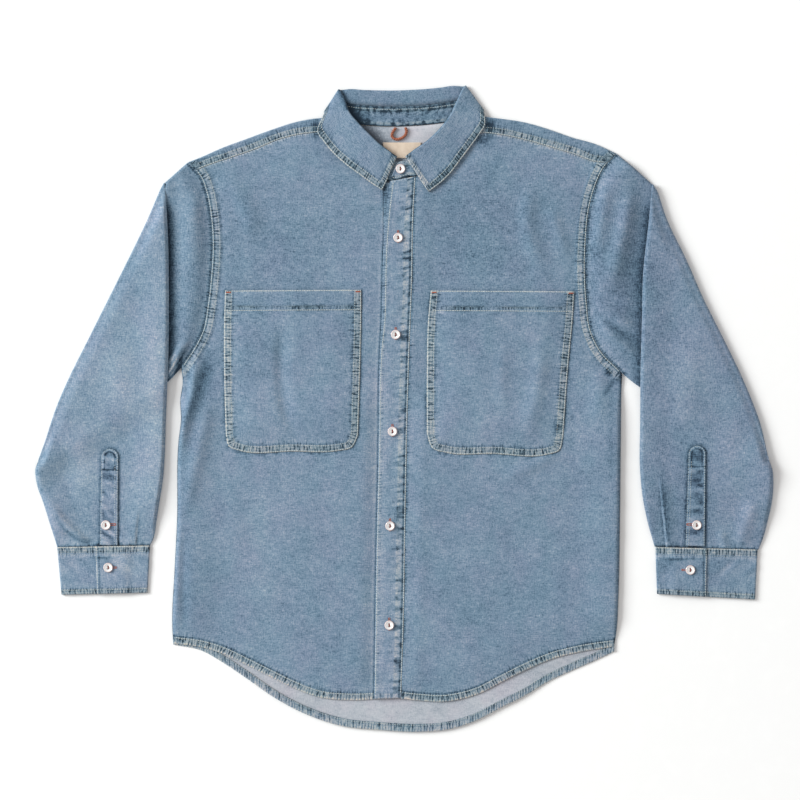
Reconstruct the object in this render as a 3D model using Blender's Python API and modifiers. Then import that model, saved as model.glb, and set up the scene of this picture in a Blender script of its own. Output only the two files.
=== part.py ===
"""A denim shirt laid flat on its back, buttoned, with both sleeves folded forward.

X runs across the shirt, Y up towards the collar and Z out of the surface it lies on. The tables below are
in millimetres. "Right" and "left" are the wearer's, so the right side lies at negative X. Each piece of
cloth is an open surface through its middle with a Solidify modifier, and pieces that lie on each other are
stacked with a small gap.
"""
import bmesh
import bpy
import numpy as np
from mathutils import Vector, geometry

MM = 0.001
COLLECTION = "denim_shirt"

# ---- driving sizes (mm) -------------------------------------------------------------------------------
CLOTH = 1.2          # one ply of denim
BAND = 1.6           # doubled, pressed bands: collar, stand, cuffs and plackets
GAP = 0.3            # left between pieces that touch
SEAM = 0.16          # each side of a seam where two pieces meet edge to edge
TURN = 1.0           # radius of a pressed fold, at the middle of the cloth

BACK_Z = CLOTH / 2   # the middle of the cloth of the layer on the table
FRONT_Z = 2.6        # and of the fronts above it
SIDE_Z = 2.15        # the fronts come down at the side seams
UNDER_BAND_Z = 2.8   # the button band
TOP_BAND_Z = 4.7     # the buttonhole band that laps it
SLEEVE_TURN_Z = 4.2  # height of the axis that each sleeve folds around
NECK_LIFT = 1.9      # the collar folds under the back of the neck and lifts it

BUTTON_R = 6.0
BUTTON_T = 2.2
BUTTON_RIM = 1.4
HOLE_R = 0.9
HOLE_AT = 1.7

# ---- seam lines of the body (x, y) --------------------------------------------------------------------
SIDE = {
    "right": [(-279, 52), (-277, 35), (-280, 11), (-279, -14), (-282, -39), (-284, -139), (-287, -200),
              (-290, -270), (-289, -293)],
    "left": [(272, 45), (271, 24), (270, -41), (269, -139), (267, -239), (265, -276), (262, -296)],
}
ARMHOLE = {
    "right": [(-279, 52), (-263, 76), (-252, 98), (-246, 130), (-242, 165), (-240, 213), (-242, 239),
              (-247, 268), (-255, 290), (-270, 307)],
    "left": [(272, 45), (243, 76), (233, 98), (228, 133), (226, 165), (227, 213), (230, 245), (237, 274),
             (249, 301), (264, 318)],
}
SHOULDER_FOLD = {
    "right": [(-270, 307), (-251, 314.5), (-226, 325.5), (-196, 336.5), (-166, 347.5), (-136, 357),
              (-116, 361), (-94, 363)],
    "left": [(264, 318), (239, 329.5), (209, 338), (179, 348.5), (149, 357), (119, 361.5), (107, 363),
             (89, 365.5)],
}
SHOULDER_SEAM = {
    "right": [(-243, 305), (-219, 313), (-187, 324), (-155, 337), (-123, 344), (-90, 346)],
    "left": [(237, 309), (218, 316), (186, 326), (154, 335), (128, 341), (85, 346)],
}
NECKLINE = {
    "right": [(-90, 346), (-85, 334), (-75, 318), (-62, 304), (-44, 291), (-26, 283.5)],
    "left": [(85, 346), (79, 333), (70, 319), (56, 304), (40, 292), (13, 283.5)],
}
BACK_NECKLINE = [(-94, 363), (-78, 357.5), (-56, 354.5), (-18, 352.5), (19, 354), (51, 357.5), (74, 361.5),
                 (89, 365.5)]
YOKE_SEAM_Y = 236    # the seam between yoke and back, across the shoulder blades
ARMHOLE_BELOW = 8    # points that every piece shares along an armhole, below the yoke seam
YOKE_ROWS = (0, 0.3, 0.57, 0.70, 0.83, 0.93, 1)    # and above it, as fractions of the way up
SHOULDER_ROW = 4     # the row of these where the shoulder seam starts

FRONT_HEM = {
    "right": [(-289, -293), (-251, -299), (-231, -306), (-199, -321), (-168, -338), (-139, -352),
              (-107, -361), (-64, -363.5), (-36, -362)],
    "left": [(262, -296), (218, -303), (186, -311), (154, -324), (122, -340), (90, -356), (73, -361),
             (45, -365), (26, -364), (-4, -361)],
}
BACK_HEM = [(-289, -295), (-256, -304), (-226, -320), (-196, -338), (-166, -360), (-136, -378),
            (-106, -391), (-76, -399), (-31, -402), (14, -404.5), (59, -400), (89, -390), (119, -374),
            (149, -358), (179, -340), (209, -326), (239, -313), (262, -302)]

# Free edge and sewn edge of the buttonhole band, and outer edge of the button band beneath it.
TOP_BAND_FREE = [(-17, 283), (-22, 240), (-25, 200), (-27, 118), (-30, 54), (-31, -41), (-34, -189),
                 (-36.5, -362)]
TOP_BAND_SEWN = [(13, 283), (10, 245), (8, 149), (5.5, 85), (2.5, -10), (0.5, -109), (-2, -269), (-4, -361)]
UNDER_BAND_OUTER = [(-26, 283), (-26.5, 118), (-29.5, -41), (-35, -361)]
UNDER_BAND_W = 29

POCKET = {
    "right": {"outer": [(-224, 148), (-225, 118), (-225, 40), (-223, -32)],
              "bottom": [(-223, -32), (-219, -47), (-206, -52), (-140, -53), (-82, -52), (-66, -48),
                         (-58, -33)],
              "inner": [(-54, 149), (-54, 118), (-56, 30), (-58, -33)]},
    "left": {"outer": [(212, 147), (210.5, 118), (205, 60), (198, -35)],
             "bottom": [(198, -35), (193, -52), (180, -56.5), (110, -56), (52, -54.5), (35, -49),
                        (28, -32)],
             "inner": [(33, 148), (30, 118), (28, 40), (28, -32)]},
}

POCKET_SWELL = 1.6   # how far a pocket's middle stands off the front

# ---- the neck: stations from the buried end of the stand round to its top end --------------------------
# Each row: x, y of the neck seam, of the seam between stand and collar, of the roll line and of the collar's
# edge, then the heights of the cloth at the neck seam, the stand seam, inside the roll, outside it and the
# edge. The stand's two ends have no roll or edge.
STAND_START = [
    ((8, 284.4), (5, 309.5), (2.8, 2.8)),
    ((-8, 284.2), (-5, 309.5), (2.8, 2.8)),
]
RIGHT_LEAF = [
    ((-19, 284.0), (-13.5, 309.5), (-9.5, 314.5), (-28, 273), (2.8, 3.0, 4.2, 6.8, 5.2)),
    ((-30, 286), (-22, 313.5), (-20, 322), (-40, 281), (2.8, 3.9, 4.9, 8.0, 5.3)),
    ((-44, 292), (-36, 320), (-32, 331), (-56, 292.5), (2.9, 4.0, 5.2, 8.8, 5.2)),
    ((-62, 305), (-53, 332), (-46, 344.5), (-74, 306), (3.1, 3.8, 5.0, 9.0, 5.0)),
    ((-75.5, 320), (-68, 348), (-60, 359), (-90, 320.5), (3.4, 4.3, 5.3, 9.0, 5.1)),
    ((-84.5, 336), (-78, 364), (-69.5, 371), (-101, 334), (4.2, 4.8, 5.2, 8.6, 5.7)),
    ((-89, 347), (-83, 376), (-74, 383), (-109, 347), (4.7, 4.8, 4.9, 8.2, 6.6)),
]
RIGHT_CREASE = ((-87.5, 364.5), (-84, 387), (-80, 397.5), (-99.5, 370))
BACK_OF_NECK = [
    ((-76, 357.8), (-71, 382), (-66, 399), (-80, 358.5)),
    ((-56, 355.0), (-52, 379.8), (-50, 397.8), (-54, 356)),
    ((-18, 352.9), (-17, 378.2), (-17, 397.2), (-18, 355.5)),
    ((19, 354.4), (19, 379.2), (19, 398.5), (19, 356.5)),
    ((51, 357.9), (50, 382.6), (46, 401.0), (56, 359)),
    ((72, 361.6), (69, 386), (61, 403.0), (79, 363)),
]
LEFT_CREASE = ((83.0, 367.5), (79.5, 389.5), (74.5, 402), (99, 371))
LEFT_LEAF = [
    ((83.5, 347.5), (79, 377), (67.5, 388), (101, 357), (4.7, 4.8, 4.9, 8.2, 6.6)),
    ((78, 334.5), (73, 361), (60, 372), (93, 342), (4.0, 4.8, 5.2, 8.8, 6.2)),
    ((70, 321), (63, 346), (50, 356.5), (82, 327), (3.4, 4.3, 5.3, 9.2, 5.2)),
    ((56, 305.5), (49, 332), (38.5, 343.5), (70, 311), (3.1, 3.6, 5.1, 9.4, 5.0)),
    ((40, 293.5), (33, 320.5), (25.5, 332), (57, 294), (3.4, 3.9, 5.4, 9.4, 5.0)),
    ((25, 287), (18, 313.5), (12, 323), (44, 281.5), (4.4, 4.6, 5.8, 9.2, 5.6)),
    ((10, 284.4), (4.5, 311), (1.5, 314.5), (30, 271), (4.7, 4.8, 5.4, 8.2, 6.0)),
]
STAND_END = [
    ((-6, 284.4), (-3, 310), (4.7, 4.7)),
    ((-14, 285), (-7.5, 308.5), (4.7, 4.7)),
    ((-17, 288), (-11, 304), (4.7, 4.7)),
]
BACK_NECK_Z = 2.7            # the stand at the back of the neck
BACK_ROLL_Z = 4.6            # the collar swells as it rolls under
UNDER_COLLAR_Z = BAND / 2    # the part of the collar that lies beneath the neck
UNDER_ROLL_Z = 1.1           # and where it leaves the roll
CREASE_ANGLES = (45, 90, 135)

# ---- the sleeves --------------------------------------------------------------------------------------
# crease: the line that the sleeve folds forward along, from the top of the shoulder to the elbow end.
# inner and outer: the edges of the folded part, from each end of the crease down to the cuff seam.
SLEEVE = {
    "right": {"side": -1,
              "underarm": [(-279, 52), (-296, 34), (-340, 6), (-400, -30), (-456.5, -64)],
              "top": [(-270, 307), (-286, 293), (-300, 281)],
              "crease": [(-456.5, -64), (-447, -39), (-429, 11), (-417, 38), (-392, 88), (-367, 138),
                         (-342, 188), (-318, 238), (-300, 281)],
              "outer": [(-456.5, -64), (-460, -74), (-459.5, -86), (-457, -98), (-451, -114), (-443, -139),
                        (-435, -164), (-432.5, -172.5)],
              "inner": [(-300, 281), (-299, 268), (-296, 213), (-295, 149), (-296, 54), (-299, -10),
                        (-301, -64), (-303, -89), (-307, -114), (-311, -139), (-316, -164),
                        (-319.5, -170.5)]},
    "left": {"side": 1,
             "underarm": [(272, 45), (291, 30), (340, 4), (400, -30), (454, -62)],
             "top": [(264, 318), (289, 298), (310, 279)],
             "crease": [(454, -62), (448, -40), (430, 10), (419, 36), (395, 86), (370, 136), (348, 186),
                        (324, 236), (310, 279)],
             "outer": [(454, -62), (458.5, -74), (460, -90), (458.5, -113), (453, -138), (446, -163),
                       (441, -175.5)],
             "inner": [(310, 279), (305.5, 232), (298.5, 165), (297.5, 118), (295.5, 38), (295.5, -14),
                       (295.5, -78), (298.5, -109), (305, -141), (314, -172)]},
}
CUFF = {
    "right": {"outer": [(-434, -172.5), (-428.5, -234)], "inner": [(-318, -170.5), (-321, -231)],
              "free_edge": 0.42},
    "left": {"outer": [(441.5, -175.5), (438, -238)], "inner": [(313.5, -172.5), (315.5, -231)],
             "free_edge": 0.50},
}
PLACKET_LIFT = 0.6   # the placket stands a little off the sleeve's soft curve
SLEEVE_PLACKET = {
    "right": {"axis": [(-367, -49), (-370.5, -170)], "width": (17.5, 23)},
    "left": {"axis": [(366, -45), (362.5, -171)], "width": (20, 26)},
}

# ---- soft folds pressed up out of the cloth: the line of the crest, its height and its half width --------
FRONT_FOLDS = {
    "right": [([(-243, 30), (-250, 0), (-259, -45), (-268, -90), (-272, -140)], 2.4, 11)],
    "left": [([(247, 60), (243, 20), (245, -20)], 1.6, 10)],
}
CUFF_PLEATS = {
    "right": [([(-330, -130), (-334, -150), (-337, -175)], 1.6, 7),
              ([(-437, -128), (-420, -152), (-402, -172)], 1.8, 9)],
    "left": [([(318, -95), (322, -130), (327, -178)], 1.8, 7),
             ([(432, -120), (424, -150), (420, -178)], 1.5, 9)],
}

# ---- fastenings: centre of each button and the height of the cloth that it lies on ----------------------
FRONT_BUTTONS = [(-5, 300), (-8, 214), (-11, 93), (-15, -28), (-18, -146), (-19, -270)]
SLEEVE_BUTTONS = {"right": (-373, -145), "left": (365, -145)}
CUFF_BUTTONS = {"right": (-370, -198), "left": (357, -201)}

LOOP_ROUTE = [(-15.5, 351), (-16.5, 345), (-14, 339.5), (-6.5, 336.5), (1, 339.5), (3.5, 345), (2.5, 351.3)]
LOOP_R = 1.0
LABEL = {"x": (-27, 21), "y": (313.5, 333)}
LABEL_T = 1.0

COLOURS = {
    "denim": ((0.28, 0.38, 0.48), 0.9),
    "button": ((0.86, 0.82, 0.80), 0.3),
    "cord": ((0.62, 0.27, 0.14), 0.8),
    "label": ((0.83, 0.80, 0.72), 0.85),
}


# ---- curves and patches --------------------------------------------------------------------------------
def lengths(points):
    """Distance along a line of points, from 0 at its start."""
    steps = np.linalg.norm(np.diff(points, axis=0), axis=1)
    return np.concatenate([[0.0], np.cumsum(steps)])


def smooth(table, count):
    """count points spread evenly along the smooth curve through a table of points."""
    knots = np.array(table, float)
    t = lengths(knots)
    straight = np.repeat((knots[-1:] - knots[:1]) / t[-1], 2, 0)
    slope = np.gradient(knots, t, axis=0) if len(knots) > 2 else straight
    fine = np.linspace(0, t[-1], 24 * len(knots))
    i = np.clip(np.searchsorted(t, fine, side="right") - 1, 0, len(t) - 2)
    h = t[i + 1] - t[i]
    s = ((fine - t[i]) / h)[:, None]
    h = h[:, None]
    curve = ((2 * s**3 - 3 * s**2 + 1) * knots[i] + (s**3 - 2 * s**2 + s) * h * slope[i]
             + (3 * s**2 - 2 * s**3) * knots[i + 1] + (s**3 - s**2) * h * slope[i + 1])
    return along(curve, np.linspace(0, 1, count))


def along(curve, fractions):
    """Points at the given fractions of a curve's length."""
    d = lengths(curve)
    places = np.array(fractions) * d[-1]
    return np.stack([np.interp(places, d, curve[:, k]) for k in range(curve.shape[1])], 1)


def join(*curves):
    """Curves end to end, each starting where the last one stopped."""
    return np.concatenate([curves[0]] + [c[1:] for c in curves[1:]])


def shift(curve, distance):
    """A curve moved sideways to the left of its direction."""
    direction = np.gradient(curve, axis=0)
    direction /= np.linalg.norm(direction, axis=1)[:, None]
    return curve + distance * np.stack([-direction[:, 1], direction[:, 0]], 1)


def fractions_of(curve):
    d = lengths(curve)
    return d / d[-1]


def patch(bottom, top, left, right):
    """The grid of points [u][v] between four edges; bottom and top run along u, left and right along v."""
    u = ((fractions_of(bottom) + fractions_of(top)) / 2)[:, None, None]
    v = ((fractions_of(left) + fractions_of(right)) / 2)[None, :, None]
    ends = ((1 - u) * (1 - v) * bottom[0] + u * (1 - v) * bottom[-1] + (1 - u) * v * top[0] + u * v * top[-1])
    return ((1 - v) * bottom[:, None] + v * top[:, None] + (1 - u) * left[None] + u * right[None] - ends)


def ease(t):
    t = np.clip(t, 0, 1)
    return t * t * (3 - 2 * t)


def raised(grid, height):
    """A flat grid with a height, a number or one for each point, as a third coordinate."""
    z = np.broadcast_to(np.asarray(height, float), grid.shape[:-1])
    return np.concatenate([grid, z[..., None]], -1)


def distance_to_line(x, y, line):
    """Distance of each point from a line of points."""
    line = np.array(line, float)
    best = np.full(np.shape(x), np.inf)
    for a, b in zip(line[:-1], line[1:]):
        along_x, along_y = b - a
        t = np.clip(((x - a[0]) * along_x + (y - a[1]) * along_y) / (along_x**2 + along_y**2), 0, 1)
        best = np.minimum(best, np.hypot(x - a[0] - t * along_x, y - a[1] - t * along_y))
    return best


def x_at(table, y):
    """The x of a nearly upright line at a height y."""
    line = smooth(table, 60)
    order = np.argsort(line[:, 1])
    return np.interp(y, line[order, 1], line[order, 0])


def armhole(side):
    """The points that the sleeve, the front, the back and the yoke share, from armpit to shoulder."""
    line = smooth(ARMHOLE[side], 200)
    at_yoke = np.array([[x_at(ARMHOLE[side], YOKE_SEAM_Y), YOKE_SEAM_Y]])
    below = np.concatenate([line[line[:, 1] < YOKE_SEAM_Y], at_yoke])
    above = np.concatenate([at_yoke, line[line[:, 1] > YOKE_SEAM_Y]])
    return join(along(below, np.linspace(0, 1, ARMHOLE_BELOW)), along(above, YOKE_ROWS))


def shoulder_seam(side, count):
    """The seam at the front of the yoke, from the armhole to the neck."""
    start = armhole(side)[ARMHOLE_BELOW - 1 + SHOULDER_ROW]
    return smooth([start] + SHOULDER_SEAM[side], count)


# ---- heights of the layers ------------------------------------------------------------------------------
def neck_lift(x, y):
    """How far the collar beneath it lifts the back of the neck."""
    return NECK_LIFT * ease((y - 315) / 36) * ease((160 - abs(x + 3)) / 44)


def folds(x, y, table):
    """How far the soft folds of a table raise the cloth."""
    return sum(height * np.exp(-(distance_to_line(x, y, crest) / width) ** 2)
               for crest, height, width in table)


def front_height(x, y, side):
    """The middle of a front: down at the side seam, up to its band, lifted at the neck, with its folds."""
    low = ease((50 - y) / 40) * (1 - ease(abs(x - x_at(SIDE[side], y)) / 25))
    z = FRONT_Z - (FRONT_Z - SIDE_Z) * low + neck_lift(x, y)
    if side == "left":
        z = z + (TOP_BAND_Z - FRONT_Z) * (1 - ease((x - x_at(TOP_BAND_SEWN, y)) / 32))
    return z + folds(x, y, FRONT_FOLDS[side])


# ---- making the solids ------------------------------------------------------------------------------------
def material(kind):
    found = bpy.data.materials.get(kind)
    if found:
        return found
    colour, roughness = COLOURS[kind]
    made = bpy.data.materials.new(kind)
    made.use_nodes = True
    shader = made.node_tree.nodes["Principled BSDF"]
    shader.inputs["Base Color"].default_value = (*colour, 1)
    shader.inputs["Roughness"].default_value = roughness
    shader.inputs["Metallic"].default_value = 0.0
    return made


def add_object(name, mesh, kind):
    thing = bpy.data.objects.new(name, mesh)
    mesh.materials.append(material(kind))
    bpy.data.collections[COLLECTION].objects.link(thing)
    return thing


def cloth(name, grids, thickness, kind="denim"):
    """One piece of cloth: grids of points that share edges, as one open surface with a thickness."""
    sheet = bmesh.new()
    corners = {}

    def corner(point):
        key = tuple(np.round(point, 3))
        if key not in corners:
            corners[key] = sheet.verts.new(Vector(point) * MM)
        return corners[key]

    for grid in grids:
        for a, b in zip(grid[:-1], grid[1:]):
            for j in range(len(a) - 1):
                quad = [corner(a[j]), corner(b[j]), corner(b[j + 1]), corner(a[j + 1])]
                quad = [v for n, v in enumerate(quad) if v not in quad[:n]]
                if len(quad) > 2:
                    sheet.faces.new(quad)
    bmesh.ops.recalc_face_normals(sheet, faces=sheet.faces)
    mesh = bpy.data.meshes.new(name)
    sheet.to_mesh(mesh)
    sheet.free()
    thing = add_object(name, mesh, kind)
    solidify = thing.modifiers.new("Thickness", "SOLIDIFY")
    solidify.thickness = thickness * MM
    solidify.offset = 0


def build_back():
    side_rows, columns = 8, 19
    hem = smooth(BACK_HEM, columns)
    edges = {}
    for side in ("right", "left"):
        seam = smooth(SIDE[side][::-1], side_rows)
        seam[0] = hem[0] if side == "right" else hem[-1]
        edges[side] = join(seam, armhole(side)[:ARMHOLE_BELOW])
        edges[side][:, 0] += SEAM if side == "right" else -SEAM
    top = np.linspace(edges["right"][-1], edges["left"][-1], columns)
    hem[0], hem[-1] = edges["right"][0], edges["left"][0]
    grid = patch(hem, top, edges["right"], edges["left"])
    grid[:, -1, 1] -= SEAM
    cloth("back", [raised(grid, BACK_Z)], CLOTH)


def build_yoke():
    """Back of the yoke, the turn over each shoulder and the strip in front of it, open at the neck."""
    wing_columns, neck_columns, strip_rows = 10, 13, 3
    grids, at_neck = [], {}
    for side in ("right", "left"):
        inward = 1 if side == "right" else -1
        hole = armhole(side)[ARMHOLE_BELOW - 1:] + (inward * SEAM, 0)
        hole[0, 1] += SEAM
        fold = smooth(SHOULDER_FOLD[side], wing_columns)
        fold[0] = hole[-1]
        seam = shift(shoulder_seam(side, wing_columns), inward * SEAM)
        seam[0, 0] += inward * SEAM
        neck_side = np.array([(0.86 * fold[-1, 0], hole[0, 1]), fold[-1]])
        at_neck[side] = along(neck_side, YOKE_ROWS)
        bottom = np.linspace(hole[0], at_neck[side][0], wing_columns)
        back = patch(bottom, fold, hole, at_neck[side])
        back_z = BACK_Z + neck_lift(back[..., 0], back[..., 1])
        outward = shift(fold, inward) - fold
        fold_z = back_z[:, -1]
        turn = [np.column_stack([fold + outward * TURN * np.sin(a), fold_z + TURN * (1 - np.cos(a))])
                for a in np.radians((45, 90, 135))]
        steps = np.linspace(0, 1, strip_rows)[:, None, None]
        strip = fold * (1 - steps) + seam * steps
        front = raised(strip, FRONT_Z + neck_lift(strip[..., 0], strip[..., 1]))
        grids.append(np.stack([*raised(back, back_z).transpose(1, 0, 2), *turn, *front]))
    neck = smooth(BACK_NECKLINE, neck_columns)
    bottom = np.linspace(at_neck["right"][0], at_neck["left"][0], neck_columns)
    middle = patch(bottom, neck, at_neck["right"], at_neck["left"])
    middle_z = BACK_Z + neck_lift(middle[..., 0], middle[..., 1])
    grids.append(raised(middle, middle_z).transpose(1, 0, 2))
    cloth("yoke", grids, CLOTH)


def front_edges(side):
    """The four edges of a front's flat pattern, set back from its seams."""
    side_rows, shoulder_columns, neck_columns = 11, 10, 6
    inward = 1 if side == "right" else -1
    hole = armhole(side)[:ARMHOLE_BELOW + SHOULDER_ROW]
    outer = join(smooth(SIDE[side][::-1], side_rows), hole) + (inward * SEAM, 0)
    top = join(shoulder_seam(side, shoulder_columns), smooth(NECKLINE[side], neck_columns))
    top = shift(top, -inward * SEAM)
    top[0] = outer[-1] = outer[-1] - (0, SEAM)
    band = UNDER_BAND_OUTER if side == "right" else TOP_BAND_SEWN
    inner = along(smooth(band[::-1], 80), fractions_of(outer)) - (inward * SEAM, 0)
    hem = smooth(FRONT_HEM[side], len(top))
    inner[0], outer[0] = hem[-1], hem[0]
    top[-1] = inner[-1]
    return hem, top, outer, inner


def build_front(side):
    hem, top, outer, inner = front_edges(side)
    grid = patch(hem, top, outer, inner)
    cloth(f"front_{side}", [raised(grid, front_height(grid[..., 0], grid[..., 1], side))], CLOTH)


def build_band(name, outer, inner, height, top_y):
    rows, columns = 15, 3
    across = np.linspace(0, 1, columns)[:, None, None]
    edge_a, edge_b = smooth(outer, rows), smooth(inner, rows)
    edge_a[0, 1] = edge_b[0, 1] = top_y
    cloth(name, [raised(edge_a * (1 - across) + edge_b * across, height)], BAND)


def build_pocket(side):
    """A patch pocket, swollen a little, with most of its columns in its rounded corners."""
    rows = 9
    across = np.array([0, 0.045, 0.09, 0.14, 0.3, 0.5, 0.7, 0.86, 0.91, 0.955, 1])
    shape = POCKET[side]
    start, end = (np.array(shape[edge][0], float) for edge in ("outer", "inner"))
    top = start + (end - start) * across[:, None]
    bottom = along(smooth(shape["bottom"], 200), across)
    grid = patch(bottom, top, smooth(shape["outer"][::-1], rows), smooth(shape["inner"][::-1], rows))
    v = np.linspace(0, 1, rows)[None, :]
    swell = POCKET_SWELL * np.sin(np.pi * across[:, None]) ** 0.7 * np.sin(np.pi * v * 0.9) ** 0.7
    z = front_height(grid[..., 0], grid[..., 1], side) + CLOTH + 1.5 * GAP + swell
    cloth(f"pocket_{side}", [raised(grid, z)], CLOTH)


# ---- the collar and its stand --------------------------------------------------------------------------
def crease_stations(points, side):
    """Stations round the side of the neck, where the flattened collar turns from front to back."""
    corner, edge = np.array(points[2], float), np.array(points[3], float)
    line = (corner - edge) / np.linalg.norm(corner - edge)
    outward = np.array([-line[1], line[0]]) * (1 if side == "right" else -1)
    angles = np.radians(CREASE_ANGLES if side == "right" else CREASE_ANGLES[::-1])
    inner_r, inner_z = 1.1, 3.8
    outer_r, outer_z = 2.7, 3.5
    stations = []
    for angle in angles:
        def at(point, radius, centre):
            place = np.array(point, float) + outward * radius * np.sin(angle)
            return np.array([*place, centre + radius * np.cos(angle)])
        stations.append({
            "neck": at(points[0], inner_r, inner_z), "stand": at(points[1], inner_r, inner_z),
            "roll_in": at(points[2], inner_r, inner_z), "roll_out": at(points[2], outer_r, outer_z),
            "edge": at(points[3], outer_r, outer_z)})
    return stations


def neck_stations():
    """Every station of the stand, and the collar's own span of them."""
    def leaf(row):
        neck, stand, roll, edge, z = row
        return {"neck": np.array([*neck, z[0]]), "stand": np.array([*stand, z[1]]),
                "roll_in": np.array([*roll, z[2]]), "roll_out": np.array([*roll, z[3]]),
                "edge": np.array([*edge, z[4]])}

    def behind(row):
        neck, stand, roll, edge = row
        return {"neck": np.array([*neck, BACK_NECK_Z]), "stand": np.array([*stand, BACK_NECK_Z]),
                "roll_in": np.array([*roll, BACK_ROLL_Z]), "roll_out": np.array([*roll, UNDER_ROLL_Z]),
                "edge": np.array([*edge, UNDER_COLLAR_Z])}

    collar = ([leaf(r) for r in RIGHT_LEAF] + crease_stations(RIGHT_CREASE, "right")
              + [behind(r) for r in BACK_OF_NECK] + crease_stations(LEFT_CREASE, "left")
              + [leaf(r) for r in LEFT_LEAF])
    ends = [[{"neck": np.array([*n, z[0]]), "stand": np.array([*s, z[1]])} for n, s, z in rows]
            for rows in (STAND_START, STAND_END)]
    return ends[0] + collar + ends[1], collar


def inset(line, toward, distance):
    """A line of points in space, moved square to itself over the surface that runs to another line."""
    direction = np.gradient(line, axis=0)
    direction /= np.linalg.norm(direction, axis=1)[:, None]
    across = toward - line
    across -= direction * np.sum(across * direction, axis=1)[:, None]
    return line + distance * across / np.linalg.norm(across, axis=1)[:, None]


def build_stand():
    stations, _ = neck_stations()
    neck = np.array([at["neck"] for at in stations])
    seam = np.array([at["stand"] for at in stations])
    low, high = inset(neck, seam, GAP), inset(seam, neck, GAP)
    rows = np.stack([low * (1 - s) + high * s for s in (0, 1 / 3, 2 / 3, 1)], 1)
    cloth("collar_stand", [rows], BAND)


def build_collar():
    _, stations = neck_stations()
    out_steps = (0.12, 0.3, 0.55, 0.8, 1.0)
    seam = np.array([at["stand"] for at in stations])
    starts = inset(seam, np.array([at["roll_in"] for at in stations]), GAP)
    rows = []
    for at, start in zip(stations, starts):
        up = at["roll_in"] - at["stand"]
        reach = np.linalg.norm(up)
        up /= reach
        centre = (at["roll_in"] + at["roll_out"]) / 2
        radius = (at["roll_out"] - at["roll_in"]) / 2
        bulge = up * np.linalg.norm(radius)
        back_off = min(1.0, 0.5 * reach / np.linalg.norm(radius)) * bulge
        turn = [centre - back_off - radius * np.cos(a) + bulge * np.sin(a)
                for a in np.radians((0, 45, 90, 135, 180))]
        out = [turn[-1] + (at["edge"] - turn[-1]) * s for s in out_steps]
        rows.append([start, (start + turn[0]) / 2, *turn, *out])
    cloth("collar", [np.array(rows)], BAND)


# ---- sleeves and cuffs -----------------------------------------------------------------------------------
def fall_to_table(points, shape):
    """How far the folded part of a sleeve comes down once it is past the underarm edge beneath it."""
    start, end = np.array(shape["underarm"][0], float), np.array(shape["underarm"][-1], float)
    line = (end - start) / np.linalg.norm(end - start)
    down = np.array([line[1], -line[0]]) * -np.sign(line[0])
    down *= -np.sign(down[1])
    past = (points - start) @ down
    crease = distance_to_line(points[..., 0], points[..., 1], shape["crease"])
    settle = 1.2 * ease(crease / 40)
    fall = 2 * SLEEVE_TURN_Z - FRONT_Z - BACK_Z
    return settle + (fall - settle) * ease((past - 3) / 36)


def build_sleeve(side):
    shape = SLEEVE[side]
    out = np.array([shape["side"], 0.0])
    hole = armhole(side) + out * SEAM
    across, far = len(hole), 11
    crease = smooth(shape["crease"], across)
    cuff = np.linspace(shape["outer"][-1], shape["inner"][-1], across) + (0, SEAM)
    steps = (0, 0.12, 0.3, 0.5, 0.75, 1)
    cap = patch(hole, crease, along(smooth(shape["underarm"], 40), steps),
                along(smooth(shape["top"], 40), steps))
    far_steps = np.linspace(0, 1, far) ** 1.15
    lower = patch(crease, cuff, along(smooth(shape["outer"], 60), far_steps),
                  along(smooth(shape["inner"], 60), far_steps))
    outward = shift(crease, 1.0) - crease
    outward *= np.sign(outward @ out)[:, None]

    def ring(base, angle, is_lower):
        """One ring of the tube: back layer, turn at the top edge, front layer, turn at the underarm."""
        edge_dir = base[-1] - base[-2]
        edge_dir /= np.linalg.norm(edge_dir)
        under_dir = base[0] - base[1]
        under_dir /= np.linalg.norm(under_dir)
        mean = SLEEVE_TURN_Z - (FRONT_Z + BACK_Z) / 2
        half = (FRONT_Z - BACK_Z) / 2
        turn = np.radians((45, 90, 135))
        places = ([(p, mean + half, j) for j, p in enumerate(base)]
                  + [(base[-1] + edge_dir * half * np.sin(a), mean + half * np.cos(a), across - 1)
                     for a in turn]
                  + [(base[j], mean - half, j) for j in range(across - 1, -1, -1)]
                  + [(base[0] + under_dir * half * np.sin(a), mean - half * np.cos(a), 0)
                     for a in turn])
        points = []
        for place, radius, j in places:
            xy = place + outward[j] * radius * np.sin(angle)
            z = SLEEVE_TURN_Z - radius * np.cos(angle)
            if is_lower:
                z -= fall_to_table(base[j], shape)
                if radius > mean:
                    z += folds(*base[j], CUFF_PLEATS[side])
            points.append([*xy, z])
        return points + [points[0]]

    rings = [ring(cap[:, k], 0.0, False) for k in range(cap.shape[1])]
    rings += [ring(crease, a, False) for a in np.radians((45, 90, 135))]
    rings += [ring(lower[:, k], np.pi, True) for k in range(lower.shape[1])]
    cloth(f"sleeve_{side}", [np.array(rings)], CLOTH)


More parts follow.
